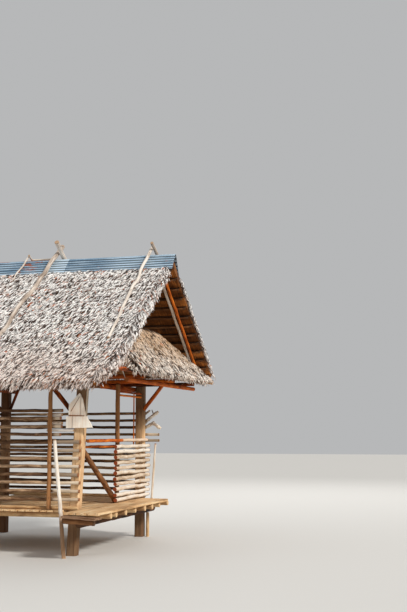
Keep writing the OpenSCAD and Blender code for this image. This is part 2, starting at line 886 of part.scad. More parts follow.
apron_courses = 5;
apron_top = -20;
function apron_profile() =
    let (step = (apron_len - 30) / apron_courses, end = apron_top + apron_len)
    concat(
        [[apron_top, apron_under], [end, apron_under + 10]],
        [for (k = [0:apron_courses - 1]) each [
            [end - 15 - k * step, apron_under + apron_t + apron_butt],
            [end - 15 - (k + 1) * step + 0.5, apron_under + apron_t]
        ]],
        [[apron_top, apron_under + apron_t]]
    );

// The room under the two slopes, inside the rafters
module under_roof() {
    drop = (batten_d + rafter_d + 3 * seat) / cos(pitch) + apron_room;
    along_x(-2 * half_l - 2000, 2 * half_l + 2000)
        polygon([
            [ridge_y, ridge_h - drop],
            [ridge_y - 2 * run_front, ridge_h - drop - 2 * run_front * tan(pitch)],
            [ridge_y + 2 * run_back, ridge_h - drop - 2 * run_back * tan(pitch)]
        ]);
}

module apron_thatch(side) {
    intersection() {
        on_apron(side)
            translate([0, front_y - apron_front, 0])
                rotate([-90, 0, 0])
                    linear_extrude(2 * depth)
                        mirror([0, 1, 0])
                            polygon(apron_profile());
        under_roof();
    }
}

module apron_thatch_right() {
    color("#c2ab88")
        apron_thatch(1);
}

module apron_thatch_left() {
    color("#c2ab88")
        apron_thatch(-1);
}

// Boards hung plumb on the near corner post, the upper one torn to a point
module board_face(layer, z) {
    translate([near_x(board_z), front_y - half_post - seat - layer * (board_t + seat), z])
        rotate([90, 0, 0])
            linear_extrude(board_t)
                children();
}

module corner_board() {
    w = board_w;
    color("#ddd0bf") {
        board_face(0, board_z + 0.2 * board_low_h)
            polygon([
                [-0.46 * w, 0], [0.33 * w, 0], [0.33 * w, 0.4 * board_h], [0.19 * w, 0.83 * board_h],
                [0.06 * w, board_h], [-0.44 * w, 0.65 * board_h], [-0.46 * w, 0.4 * board_h]
            ]);
        board_face(1, board_z)
            polygon([
                [-0.53 * w, 0], [0.71 * w, 0.05 * board_low_h], [0.57 * w, 0.58 * board_low_h],
                [0.47 * w, 0.8 * board_low_h], [0.45 * w, board_low_h], [-0.53 * w, board_low_h]
            ]);
    }
}

// A thin pole on the right face of the near corner post, leaning with it
module corner_hanger() {
    r = 0.3 * stick_d;
    color("#8f6a4a")
        translate([half_l - near_in, front_y - half_post + 2 * r, bearer_z])
            rotate([0, post_lean, 0])
                translate([half_post + seat + r, 0, board_z + board_low_h - bearer_z])
                    cylinder(h = post_top - 2 * plate_d - board_z - board_low_h, r1 = r, r2 = 0.8 * r);
}

// A pole whose foot stands before the corner post and whose top rests on a front stick
module leaning_pole() {
    tip_d = 0.85 * lean_d;
    x = half_l - 0.113 * bay;
    stick = front_stick(floor((lean_top - stick_low) / stick_pitch), x);
    foot = [half_l - 0.014 * bay, front_y - lean_out, 0];
    apart = (stick[1] + tip_d) / 2 + seat;
    steep = atan2(stick[2], lean_out - stick_face - stick[1] / 2 - apart);
    rest = [x, front_y - stick_face - stick[1] / 2 - apart / sin(steep), stick[2]];
    color("#d8cbbb")
        intersection() {
            pole(foot - 0.08 * (rest - foot), rest + 0.02 * (rest - foot), lean_d, tip_d);
            translate([-2 * half_l, -2 * depth, 0])
                cube([4 * half_l, 4 * depth, 2 * ridge_h]);
        }
}

front_posts();
back_posts();
jamb_posts();
front_studs();
wall_plates();
tie_beams();
knee_braces();
floor_bearers();
floor_joists();
floor_slats();
toe_poles();
side_ledge();
ledge_header();
ledge_prop();
front_wall();
back_wall();
left_wall();
half_wall();
front_offcuts();
crooked_ends();
handrail();
opening_rail();
opening_brace();
window_bars();
corner_stake();
rafters_front();
rafters_back();
ridge_pole();
battens_front();
battens_back();
thatch_front();
thatch_back();
ridge_sheets();
ridge_weights_front();
ridge_weights_back();
ridge_stick();
outriggers();
apron_poles_right();
apron_poles_left();
apron_thatch_right();
apron_thatch_left();
corner_board();
corner_hanger();
leaning_pole();
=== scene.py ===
"""Looks of the stilt house: crooked sticks, hewn posts, palm leaf thatch and a zinc ridge."""

import logging
import math
from dataclasses import dataclass, field, replace
from enum import Enum
from typing import TypeAlias

import bmesh
import bpy
import numpy as np
from mathutils import Matrix, Vector


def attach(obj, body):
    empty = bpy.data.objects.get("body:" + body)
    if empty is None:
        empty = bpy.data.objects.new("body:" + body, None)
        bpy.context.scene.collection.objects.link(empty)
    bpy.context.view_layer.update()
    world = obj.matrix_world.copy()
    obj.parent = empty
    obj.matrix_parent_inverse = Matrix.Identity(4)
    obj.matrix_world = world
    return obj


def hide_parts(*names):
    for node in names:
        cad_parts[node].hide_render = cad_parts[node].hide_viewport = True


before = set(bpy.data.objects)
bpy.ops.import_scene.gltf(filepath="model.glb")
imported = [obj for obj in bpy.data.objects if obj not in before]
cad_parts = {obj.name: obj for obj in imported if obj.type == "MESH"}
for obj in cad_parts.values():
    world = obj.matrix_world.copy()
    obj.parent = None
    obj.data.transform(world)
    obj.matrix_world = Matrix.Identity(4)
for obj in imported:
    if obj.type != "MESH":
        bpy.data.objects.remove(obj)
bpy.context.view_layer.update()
BODY = "root"

LOG = logging.getLogger("stilt_house")
Triple: TypeAlias = tuple[float, float, float]
Color: TypeAlias = Triple
Span: TypeAlias = tuple[float, float]
Value: TypeAlias = "Sock | float | int | tuple"

# Farther out than any piece of the house, in metres
FAR = 9.0
EVERYWHERE: Span = (-FAR, FAR)
# Corners nearer than this are one: of a copied solid, and on a cut
MERGE = 1e-5
CUT_MERGE = 1e-6
# Noise strays only part of the way from its mean, and these bring it to full reach
NOISE_SWING = 2.0
COLOR_SWING = 4.0
# Seeds of pieces that one loop makes lie this far apart
SEED_STEP = 20


def linear(red: int, green: int, blue: int) -> Color:
    """Turn an sRGB colour into the linear values a shader takes.

    Args:
        red: Red, 0 to 255.
        green: Green, 0 to 255.
        blue: Blue, 0 to 255.

    Returns:
        The colour in linear light.
    """
    parts = [c / 255 for c in (red, green, blue)]
    return tuple(c / 12.92 if c <= 0.04045 else ((c + 0.055) / 1.055) ** 2.4 for c in parts)


# Node trees


class Sock:
    """A node socket that takes part in Python arithmetic."""

    def __init__(self, home: "Tree", socket: bpy.types.NodeSocket) -> None:
        """Keep the socket and the tree that it belongs to."""
        self.home = home
        self.socket = socket

    def _math(self, operation: str, first: Value, second: Value = 0.0) -> "Sock":
        """Add a Math node and return its result."""
        return self.home.node("ShaderNodeMath", {"operation": operation}, {0: first, 1: second})

    def __add__(self, other: Value) -> "Sock":
        """Return self + other."""
        return self._math("ADD", self, other)

    def __sub__(self, other: Value) -> "Sock":
        """Return self - other."""
        return self._math("SUBTRACT", self, other)

    def __rsub__(self, other: Value) -> "Sock":
        """Return other - self."""
        return self._math("SUBTRACT", other, self)

    def __mul__(self, other: Value) -> "Sock":
        """Return self * other."""
        return self._math("MULTIPLY", self, other)

    def __truediv__(self, other: Value) -> "Sock":
        """Return self / other."""
        return self._math("DIVIDE", self, other)

    def __rtruediv__(self, other: Value) -> "Sock":
        """Return other / self."""
        return self._math("DIVIDE", other, self)

    def __pow__(self, other: Value) -> "Sock":
        """Return self to the power of other."""
        return self._math("POWER", self, other)

    def __rpow__(self, other: Value) -> "Sock":
        """Return other to the power of self."""
        return self._math("POWER", other, self)

    __radd__ = __add__
    __rmul__ = __mul__

    def above(self, edge: Value) -> "Sock":
        """Return 1 where the value is greater than edge, else 0."""
        return self._math("GREATER_THAN", self, edge)

    def least(self, other: Value) -> "Sock":
        """Return the smaller of self and other."""
        return self._math("MINIMUM", self, other)

    def fraction(self) -> "Sock":
        """Return what is left after the whole number."""
        return self._math("FRACT", self)

    def unsigned(self) -> "Sock":
        """Return the value without its sign."""
        return self._math("ABSOLUTE", self)

    def ramp(self, low: float, high: float, start: float = 0.0, end: float = 1.0) -> "Sock":
        """Map low..high smoothly to start..end, held at both ends.

        Args:
            low: Value that gives start.
            high: Value that gives end.
            start: Result at low.
            end: Result at high.

        Returns:
            The mapped value.
        """
        settings = {"interpolation_type": "SMOOTHSTEP", "clamp": True}
        return self.home.node(
            "ShaderNodeMapRange", settings, {0: self, 1: low, 2: high, 3: start, 4: end}
        )


def pick(sockets: bpy.types.bpy_prop_collection, key: int | str) -> bpy.types.NodeSocket:
    """Find a socket of a node.

    Args:
        sockets: The node's inputs or outputs.
        key: Its place, or its name among those in use. An empty name is any.

    Returns:
        The first socket that fits.
    """
    if isinstance(key, int):
        return sockets[key]
    return next(s for s in sockets if s.enabled and (not key or s.name == key))


class Tree:
    """A node tree under construction."""

    def __init__(self, tree: bpy.types.NodeTree) -> None:
        """Keep the tree that the nodes go into."""
        self.tree = tree

    def add(
        self,
        kind: str,
        settings: dict[str, object] | None = None,
        sockets: dict[int | str, Value] | None = None,
    ) -> bpy.types.Node:
        """Add a node, set it up and link it.

        Args:
            kind: Type of the node.
            settings: Properties, such as a Math node's operation, set first.
            sockets: Values or links by socket name or place.

        Returns:
            The node.
        """
        made = self.tree.nodes.new(kind)
        for name, value in (settings or {}).items():
            setattr(made, name, value)
        for key, value in (sockets or {}).items():
            target = pick(made.inputs, key)
            if isinstance(value, Sock):
                self.tree.links.new(value.socket, target)
            else:
                target.default_value = (*value, 1.0) if target.type == "RGBA" else value
        return made

    def node(
        self,
        kind: str,
        settings: dict[str, object] | None = None,
        sockets: dict[int | str, Value] | None = None,
        output: str = "",
    ) -> Sock:
        """Add a node for one of its outputs.

        Args:
            kind: Type of the node.
            settings: Properties, set first.
            sockets: Values or links by socket name or place.
            output: Name of the output wanted, else the first in use.

        Returns:
            The output, ready for arithmetic.
        """
        return Sock(self, pick(self.add(kind, settings, sockets).outputs, output))

    def axes(self, vector: Sock) -> tuple[Sock, Sock, Sock]:
        """Split a vector into its three numbers."""
        made = self.add("ShaderNodeSeparateXYZ", sockets={0: vector})
        return tuple(Sock(self, output) for output in made.outputs)

    def vector(self, x: Value, y: Value = 0.0, z: Value = 0.0) -> Sock:
        """Join three numbers into a vector."""
        return self.node("ShaderNodeCombineXYZ", sockets={0: x, 1: y, 2: z})

    def vectors(self, operation: str, *values: Value, output: str = "") -> Sock:
        """Add a Vector Math node on the given vectors."""
        settings = {"operation": operation}
        return self.node("ShaderNodeVectorMath", settings, dict(enumerate(values)), output)

    def noise(
        self,
        vector: Sock,
        scale: float,
        detail: float = 3.0,
        rough: float = 0.55,
        bent: float = 0.0,
        output: str = "",
    ) -> Sock:
        """Return a cloudy value from 0 to 1.

        Args:
            vector: The coordinates.
            scale: Size of the pattern, larger is finer.
            detail: Number of octaves.
            rough: Strength of the finer octaves.
            bent: Distortion.
            output: Color for three values, else there is one.

        Returns:
            The noise.
        """
        values = {"Vector": vector, "Scale": scale, "Detail": detail, "Roughness": rough, "Distortion": bent}
        return self.node("ShaderNodeTexNoise", None, values, output)


class Shader(Tree):
    """A material under construction, on a Principled shader."""

    def __init__(self, name: str) -> None:
        """Make an empty material.

        Args:
            name: Name of the material.
        """
        self.material = bpy.data.materials.new(name)
        self.material.use_nodes = True
        self.material.node_tree.nodes.clear()
        super().__init__(self.material.node_tree)

    def place(self) -> Sock:
        """Return the Object coordinates."""
        return self.node("ShaderNodeTexCoord", output="Object")

    def attribute(self, name: str, output: str = "Vector") -> Sock:
        """Return an attribute of the mesh, as a vector or as a number ("Fac")."""
        return self.node("ShaderNodeAttribute", {"attribute_name": name}, output=output)

    def stretch(self, vector: Sock, scale: Triple, shift: Value = (0.0, 0.0, 0.0)) -> Sock:
        """Scale a vector along its axes and shift it afterwards."""
        return self.vectors("MULTIPLY_ADD", vector, scale, shift)

    def spots(self, vector: Sock, scale: float) -> Sock:
        """Return the distance to the nearest of scattered points."""
        return self.node("ShaderNodeTexVoronoi", sockets={"Vector": vector, "Scale": scale})

    def mix(self, factor: Value, low: Value, high: Value) -> Sock:
        """Blend two colours.

        Args:
            factor: 0 gives low, 1 gives high.
            low: First colour.
            high: Second colour.

        Returns:
            The blended colour.
        """
        return self.node(
            "ShaderNodeMix", {"data_type": "RGBA"}, {"Factor": factor, "A": low, "B": high}
        )

    def steps(self, factor: Sock, stops: list[tuple[float, Color]]) -> Sock:
        """Send a value through a colour ramp.

        Args:
            factor: The value.
            stops: Place and colour of each stop.

        Returns:
            The colour.
        """
        made = self.node("ShaderNodeValToRGB", sockets={0: factor})
        elements = made.socket.node.color_ramp.elements
        while len(elements) < len(stops):
            elements.new(0.5)
        for element, (place, color) in zip(elements, stops):
            element.position = place
            element.color = (*color, 1.0)
        return made

    def finish(
        self,
        color: Value,
        roughness: Value,
        height: Sock | None = None,
        depth: float = 0.002,
        metallic: Value = 0.0,
        sheen: float = 0.5,
    ) -> bpy.types.Material:
        """Close the material.

        Args:
            color: Base colour.
            roughness: Roughness.
            height: Relief from 0 to 1, if any.
            depth: Depth of the relief in metres.
            metallic: Share of metal.
            sheen: Specular level.

        Returns:
            The finished material.
        """
        values = {"Base Color": color, "Roughness": roughness, "Metallic": metallic}
        values["Specular IOR Level"] = sheen
        if height is not None:
            relief = {"Height": height, "Distance": depth, "Strength": 1.0}
            values["Normal"] = self.node("ShaderNodeBump", sockets=relief)
        shader = self.node("ShaderNodeBsdfPrincipled", sockets=values)
        self.add("ShaderNodeOutputMaterial", sockets={"Surface": shader})
        return self.material


# Finishes


@dataclass(frozen=True)
class StickBark:
    """Finish of round poles and sticks, read from their own grain coordinates."""

    name: str
    dark: Color
    middle: Color
    light: Color
    cut: Color = linear(176, 118, 78)
    foot: float = 0.0
    soil: Color = linear(158, 112, 66)
    # Axis and start of a patch of painted sunlight, and the colour painted there
    sunlit_from: tuple[int, float] | None = None
    painted_sunlight: Color = linear(224, 208, 184)
    fibres: Triple = (5.0, 150.0, 150.0)
    patches: Triple = (4.0, 14.0, 14.0)
    knots: Triple = (5.5, 24.0, 24.0)
    edge: float = 0.06
    relief: float = 0.004

    def material(self) -> bpy.types.Material:
        """Build the material.

        Returns:
            Long fibres, knots, flaking patches and a tone of its own for each stick.
        """
        made = Shader(self.name)
        grain = made.attribute("grain")
        tone = made.attribute("tone", "Fac")
        fibre = made.noise(made.stretch(grain, self.fibres), 1.0, 4.0, 0.6)
        patch = made.noise(made.stretch(grain, self.patches), 1.0, 3.0, 0.6, 0.4)
        knot = made.spots(made.stretch(grain, self.knots), 1.0).ramp(0.05, 0.2, 1.0, 0.0)
        shade = (fibre - 0.5) * 1.1 + (patch - 0.5) * 1.3 + tone * 0.75 + 0.12
        color = made.steps(
            shade, [(0.0, self.dark), (0.42, self.middle), (0.85, self.light), (1.0, self.light)]
        )
        color = made.mix(knot * 0.75, color, self.dark)
        if self.foot:
            height = made.axes(made.place())[2] + (patch - 0.5) * 0.4
            soiled = made.mix(fibre.ramp(0.4, 0.6), self.dark, self.soil)
            color = made.mix(height.ramp(0.35, self.foot, 0.9, 0.0), color, soiled)
        # Painted sunlight: pale streaks past a line along one axis, where the sun falls on these sticks
        if self.sunlit_from:
            axis, start = self.sunlit_from
            sunny = made.axes(made.place())[axis].ramp(start, start + self.edge, 0.0, 0.9)
            sunny = sunny * fibre.ramp(0.3, 0.55, 0.6, 1.0) * tone.ramp(0.2, 0.5, 0.35, 1.0)
            color = made.mix(sunny, color, self.painted_sunlight)
        color = made.mix(made.attribute("tip", "Fac").ramp(0.5, 1.0), color, self.cut)
        height = fibre * 0.5 + patch * 0.9 - knot * 0.5
        return made.finish(color, 0.86, height, self.relief, sheen=0.25)


@dataclass(frozen=True)
class HewnWood:
    """Finish of squared timber and boards, on Object coordinates along one axis."""

    name: str
    dark: Color
    middle: Color
    light: Color
    along: int = 2
    # Height below which the wood darkens: part soil stain, part painted shade below the floor
    foot: float = 0.0
    # Height above which painted shade of the eave darkens the wood
    head: float = 0.0
    pitch: float = 90.0
    bright: float = 0.52
    # Place along x, left of which painted shade darkens the wood
    painted_shade_x: float | None = None
    relief: float = 0.003

    def grain(self, along: float, across: float) -> Triple:
        """Return the stretch of a pattern that follows the timber."""
        return tuple(along if axis == self.along else across for axis in range(3))

    def material(self) -> bpy.types.Material:
        """Build the material.

        Returns:
            Grain along the timber, checks, worn light patches, painted shade towards the head and the left
            end, and a dark foot that is part soil stain and part painted shade.
        """
        made = Shader(self.name)
        place = made.place()
        x, _, z = made.axes(place)
        fine = made.stretch(place, self.grain(3.0, self.pitch))
        fibre = made.noise(fine, 1.0, 5.0, 0.62, 0.15)
        board = made.noise(made.stretch(place, self.grain(1.1, 14.0)), 1.0, 3.0, 0.55, 0.3)
        stain = made.noise(place, 3.2, 4.0, 0.6)
        crack = made.noise(fine, 0.42, 2.0, 0.5).ramp(0.34, 0.4, 1.0, 0.0)
        shade = (fibre - 0.5) * 0.8 + (board - 0.5) * 0.8 + (stain - 0.5) * 0.8 + self.bright
        color = made.steps(shade, [(0.08, self.dark), (0.45, self.middle), (0.9, self.light)])
        color = made.mix(crack * 0.5, color, self.dark)
        # Painted shade: darker towards the left end of the house
        if self.painted_shade_x is not None:
            left_shade = x.ramp(self.painted_shade_x, self.painted_shade_x + 0.6, 0.75, 0.0)
            color = made.mix(left_shade, color, self.dark)
        # Painted shade: darker towards the top, under the eave
        if self.head:
            height = z + (stain - 0.5) * 0.3
            color = made.mix(height.ramp(self.head, self.head + 0.35, 0.0, 0.8), color, self.dark)
        # Darker towards the foot: part soil stain, part painted shade below the floor
        if self.foot:
            stain_and_shade = (z + (stain - 0.5) * 0.25).ramp(0.3, self.foot, 1.0, 0.0)
            color = made.mix(stain_and_shade * 0.85, color, self.dark)
        height = fibre * 0.6 + board * 0.6 - crack * 0.9
        return made.finish(color, 0.84, height, self.relief, sheen=0.25)


@dataclass(frozen=True)
class DryLeaf:
    """Finish of palm leaves: a few tones, painted shade at the roots and in dark gaps along the strands, and
    small rusty flecks.
    """

    name: str
    tones: tuple[tuple[float, Color], ...]
    shade: Color = linear(50, 32, 22)
    fleck: Color = linear(198, 94, 36)
    drift: float = 0.22
    warm: Color = linear(214, 166, 134)
    warm_at: tuple[float, float, float, float] = (2.2, 2.9, 0.3, 0.0)
    across: Triple = (1.0, 0.0, -0.68)
    fine: float = 42.0
    gap: float = 0.545
    strands: Triple = (9.0, 9.0, 9.0)
    flecks: Triple = (13.0, 13.0, 13.0)
    fleck_shift: Triple = (4.0, 9.0, 2.0)
    relief: float = 0.0015

    def material(self) -> bpy.types.Material:
        """Build the material.

        Returns:
            A leaf finish on the blade coordinates and the tone of each leaf.
        """
        made = Shader(self.name)
        across, down, shady = made.axes(made.attribute("blade"))
        tone = made.attribute("tone", "Fac")
        place = made.place()
        drift = made.noise(place, 1.6, 3.0, 0.6)
        color = made.steps(tone + (drift - 0.5) * self.drift, list(self.tones))
        height = made.axes(place)[2] + (drift - 0.5) * 0.5
        color = made.mix(height.ramp(*self.warm_at), color, self.warm)
        ribs = made.noise(made.vector(across * 7.0 + tone * 31.0, down * 2.5, tone * 17.0), 1.0, 2.0)
        color = made.mix(ribs.ramp(0.38, 0.58, 0.3, 0.0), color, self.shade)
        # Painted shade at the root of each leaf, where it lies under the leaves above
        root = down.ramp(0.2, 0.6, 0.95, 0.0)
        color = made.mix(root * shady, color, self.shade)
        # Painted shade: dark gaps along the strands, for the shade between the leaves
        side = made.vectors("DOT_PRODUCT", place, self.across, output="Value")
        strand = made.stretch(place, self.strands, made.vector(side * self.fine))
        gap = made.noise(strand, 1.0, 2.0, 0.6)
        color = made.mix(gap.ramp(self.gap, self.gap + 0.03, 0.0, 0.97), color, self.shade)
        fleck = made.noise(made.stretch(place, self.flecks, self.fleck_shift), 1.0, 2.0, 0.6)
        color = made.mix(fleck.ramp(0.69, 0.73, 0.0, 0.8), color, self.fleck)
        return made.finish(color, 0.82, ribs, self.relief, sheen=0.2)


@dataclass(frozen=True)
class ThatchBed:
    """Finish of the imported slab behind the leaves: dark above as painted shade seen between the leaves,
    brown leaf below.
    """

    name: str
    course: float
    top: Color
    under: Color
    glow: Color
    deep: Color = linear(30, 19, 9)
    gap: Color = linear(34, 26, 22)
    relief: float = 0.006

    def material(self) -> bpy.types.Material:
        """Build the material.

        Returns:
            Streaks down the slope, with each course a little different.
        """
        made = Shader(self.name)
        x, y, z = made.axes(made.place())
        row = made.noise(made.vector(x * 0.35, y * 0.35, z / self.course * 1.55), 1.0, 1.0)
        streak = made.noise(made.vector(x * 75.0, y * 4.0, z * 4.0), 1.0, 4.0, 0.65)
        cloud = made.noise(made.vector(x * 5.0, y * 5.0, z * 9.0), 1.0, 3.0, 0.6)
        shade = streak * 0.8 + (row - 0.5) * 1.0 + (cloud - 0.5) * 0.7
        below = made.steps(shade, [(0.1, self.deep), (0.45, self.under), (0.8, self.glow)])
        # The upper face is painted shade, seen through the gaps between the leaves
        above = made.mix(streak, self.gap, self.top)
        normal = made.node("ShaderNodeNewGeometry", output="True Normal")
        color = made.mix(made.axes(normal)[2].ramp(-0.15, 0.15), below, above)
        return made.finish(color, 0.9, streak, self.relief, sheen=0.15)


@dataclass(frozen=True)
class ZincSheet:
    """Finish of the corrugated sheets: dulled zinc, valleys darkened with painted shade and a few rust
    patches.
    """

    ridge: Span
    pitch: float
    name: str = "zinc"
    zinc: Color = linear(80, 116, 144)
    pale: Color = linear(206, 226, 240)
    rust: Color = linear(142, 68, 24)
    valley_shade: Color = linear(14, 28, 42)
    wave: float = 0.076
    phase: float = 0.0632
    slant: float = 0.185
    bright: tuple[Triple, ...] = ((0.18, 0.47, 0.4), (1.68, 2.3, 0.16))
    rust_x: float = -0.1
    rust_fall: float = 0.2
    rust_end: float = 0.15
    relief: float = 0.0004

    def material(self) -> bpy.types.Material:
        """Build the material.

        Returns:
            Streaks along the corrugations, brighter overlaps and rust by the ridge.
        """
        made = Shader(self.name)
        place = made.place()
        x, y, z = made.axes(place)
        ridge_y, ridge_z = self.ridge
        across = (y - ridge_y).unsigned()
        fall = across * math.cos(self.pitch) - (z - ridge_z) * math.sin(self.pitch)
        turn = ((fall + self.phase) / self.wave).fraction()
        valley = (turn - 0.5).unsigned().ramp(0.13, 0.27, 1.0, 0.0)
        run = made.noise(made.vector(x * 1.6, fall * 55.0), 1.0, 4.0, 0.6)
        sheet = made.noise(made.vector(x * 1.1, y * 0.8), 1.0, 2.0)
        spangle = made.spots(place, 70.0)
        shade = (run - 0.5) * 1.3 + (sheet - 0.5) * 0.8 + (spangle - 0.4) * 0.2 + 0.42
        askew = x + (y - ridge_y) * self.slant
        for low, high, much in self.bright:
            shade = shade + askew.above(low) * (1.0 - askew.above(high)) * much
        color = made.mix(shade.ramp(0.1, 0.9), self.zinc, self.pale)
        # Painted shade in the valleys of the corrugations
        color = made.mix(valley * run.ramp(0.3, 0.6, 0.8, 1.0), color, self.valley_shade)
        stain = made.noise(made.vector(x * 7.0, fall * 24.0, y * 3.0), 1.0, 4.0, 0.6)
        far = ((x - self.rust_x) ** 2.0 + ((fall - self.rust_fall) * 0.8) ** 2.0) ** 0.5
        spot = far.ramp(0.05, 0.26, 0.2, 0.0) * (1.0 - y.above(ridge_y))
        edge = across.ramp(0.02, 0.06, 0.2, 0.0) * (1.0 - x.above(self.rust_end))
        patch = (stain + spot + edge).ramp(0.66, 0.74)
        color = made.mix(patch * 0.85, color, self.rust)
        rough = 0.42 + patch * 0.4 + run * 0.18
        return made.finish(color, rough, spangle, self.relief, metallic=0.35 - patch * 0.3)


class Wood(Enum):
    """The named wood finishes of the house: dark, middle and light tone, and cut ends."""

    # Posts: painted shade at the head and towards the left end; the dark foot is part soil stain, part
    # painted shade
    POST = HewnWood(
        "post",
        linear(78, 47, 25),
        linear(190, 145, 100),
        linear(232, 200, 158),
        foot=0.74,
        head=1.58,
        bright=0.65,
        painted_shade_x=-1.0,
    )
    FLOOR = HewnWood(
        "floor", linear(96, 64, 38), linear(206, 164, 116), linear(236, 214, 174), along=1
    )
    DARK = HewnWood(
        "dark_board", linear(44, 29, 19), linear(112, 80, 58), linear(186, 152, 120), 0, pitch=60.0
    )
    BOARD = HewnWood(
        "board",
        linear(120, 84, 58),
        linear(238, 214, 190),
        linear(254, 248, 236),
        pitch=60.0,
        bright=0.7,
    )
    BRANCH = HewnWood(
        "branch",
        linear(140, 104, 74),
        linear(226, 211, 189),
        linear(234, 228, 218),
        along=0,
        pitch=30.0,
        bright=0.7,
    )
    GREY = StickBark(
        "grey_bark", linear(66, 51, 41), linear(172, 155, 140), linear(224, 214, 203), linear(170, 140, 112)
    )
    WORN = StickBark(
        "worn_bark",
        linear(92, 64, 44),
        linear(214, 196, 176),
        linear(232, 226, 216),
        linear(176, 140, 104),
        foot=0.8,
    )
    # Front wall sticks: dark tones partly the bark's own and partly painted shade of the eave; right of x
    # 0.84 they get painted sunlight
    SUNNY = StickBark(
        "sunny_bark",
        linear(52, 32, 19),
        linear(116, 84, 57),
        linear(208, 174, 138),
        linear(146, 96, 62),
        sunlit_from=(0, 0.84),
    )
    # Dark tones partly the bark's own and partly painted shade; the ends past x 1.22 get painted sunlight
    STICK = StickBark(
        "stick_bark",
        linear(42, 28, 17),
        linear(98, 71, 46),
        linear(176, 146, 108),
        linear(140, 108, 74),
        sunlit_from=(0, 1.22),
    )
    PALE = StickBark(
        "pale_bark", linear(92, 60, 38), linear(204, 182, 156), linear(226, 216, 202), linear(146, 72, 38)
    )
    FRAME = StickBark(
        "frame_bark", linear(38, 22, 12), linear(104, 66, 38), linear(160, 112, 70), linear(84, 58, 38)
    )
    ORANGE = StickBark(
        "orange_bark", linear(58, 22, 5), linear(178, 82, 16), linear(230, 128, 36), linear(150, 84, 38)
    )
    # The rail gets painted sunlight along y from 0.35
    RAIL = replace(ORANGE, name="rail_bark", sunlit_from=(1, 0.35))
    FLOOR_POLE = StickBark(
        "floor_pole", linear(80, 52, 30), linear(170, 130, 88), linear(222, 188, 140), linear(212, 176, 132)
    )


# Geometry trees


class GeoTree(Tree):
    """A Geometry Nodes tree built in code, with named inputs."""

    def __init__(self, name: str) -> None:
        """Start a tree with a geometry input and output.

        Args:
            name: Name of the tree.
        """
        super().__init__(bpy.data.node_groups.new(name, "GeometryNodeTree"))
        for way in ("INPUT", "OUTPUT"):
            self.tree.interface.new_socket(
                name="Geometry", in_out=way, socket_type="NodeSocketGeometry"
            )
        self.inputs: dict[str, object] = {}
        self.entry = self.add("NodeGroupInput")

    def start(self) -> Sock:
        """Return the geometry that the tree is given."""
        return Sock(self, self.entry.outputs[0])

    def size(self, name: str, value: object, kind: str = "NodeSocketFloat") -> Sock:
        """Add a named input.

        Args:
            name: Name shown on the input.
            value: Value it gets.
            kind: Socket type.

        Returns:
            The input's socket within the tree.
        """
        made = self.tree.interface.new_socket(name=name, in_out="INPUT", socket_type=kind)
        self.inputs[made.identifier] = value
        return Sock(self, next(s for s in self.entry.outputs if s.identifier == made.identifier))

    def scaled(self, vector: Value, factor: Value) -> Sock:
        """Scale a vector by a number."""
        return self.node(
            "ShaderNodeVectorMath", {"operation": "SCALE"}, {0: vector, "Scale": factor}
        )

    def named(self, name: str, kind: str = "FLOAT") -> Sock:
        """Read a named attribute."""
        return self.node("GeometryNodeInputNamedAttribute", {"data_type": kind}, {"Name": name})

    def store(self, geometry: Sock, name: str, value: Value, kind: str = "FLOAT") -> Sock:
        """Write a named attribute on the points.

        Args:
            geometry: Geometry that gets it.
            name: Name of the attribute.
            value: Its value.
            kind: Its data type.

        Returns:
            The geometry.
        """
        return self.node(
            "GeometryNodeStoreNamedAttribute",
            {"data_type": kind, "domain": "POINT"},
            {"Geometry": geometry, "Name": name, "Value": value},
        )

    def chance(self, low: Value, high: Value, seed: int, kind: str = "FLOAT") -> Sock:
        """Add a Random Value node with a fixed seed."""
        return self.node(
            "FunctionNodeRandomValue", {"data_type": kind}, {"Min": low, "Max": high, "Seed": seed}
        )

    def lines(self, step: Sock) -> Sock:
        """Turn the given edges into curves with a point at each step."""
        curve = self.node("GeometryNodeMeshToCurve", sockets={"Mesh": self.start()})
        return self.node(
            "GeometryNodeResampleCurve", {"mode": "LENGTH"}, {"Curve": curve, "Length": step}
        )

    def moved(self, geometry: Sock, offset: Sock) -> Sock:
        """Move each point by an offset."""
        return self.node("GeometryNodeSetPosition", sockets={"Geometry": geometry, "Offset": offset})

    def pushed(self, geometry: Sock, depth: Sock) -> Sock:
        """Move each point outwards along its normal."""
        return self.moved(geometry, self.scaled(self.node("GeometryNodeInputNormal"), depth))

    def close(self, geometry: Sock, material: bpy.types.Material) -> None:
        """End the tree in Realize Instances and Set Material.

        Args:
            geometry: What the tree has made.
            material: Its material.
        """
        real = self.node("GeometryNodeRealizeInstances", sockets={"Geometry": geometry})
        sockets = {"Geometry": real, "Material": material}
        self.add("NodeGroupOutput", sockets={0: self.node("GeometryNodeSetMaterial", None, sockets)})

    def bake(self, name: str, source: bpy.types.Mesh) -> bpy.types.Object:
        """Run the tree on a mesh and keep the result as a plain mesh object.

        Args:
            name: Name of the piece.
            source: Mesh that the tree starts from.

        Returns:
            The finished object, at the origin.
        """
        holder = link(name + "_source", source)
        modifier = holder.modifiers.new("tree", "NODES")
        modifier.node_group = self.tree
        for identifier, value in self.inputs.items():
            modifier[identifier] = value
        graph = bpy.context.evaluated_depsgraph_get()
        graph.update()
        mesh = bpy.data.meshes.new_from_object(holder.evaluated_get(graph), depsgraph=graph)
        holder.modifiers.remove(modifier)
        bpy.data.objects.remove(holder)
        mesh.name = name
        return link(name, mesh)


def link(name: str, data: bpy.types.ID) -> bpy.types.Object:
    """Put a mesh, a lamp or a camera into the scene.

    Args:
        name: Name of the object.
        data: What it shows.

    Returns:
        The object, at the origin.
    """
    piece = bpy.data.objects.new(name, data)
    bpy.context.scene.collection.objects.link(piece)
    return piece


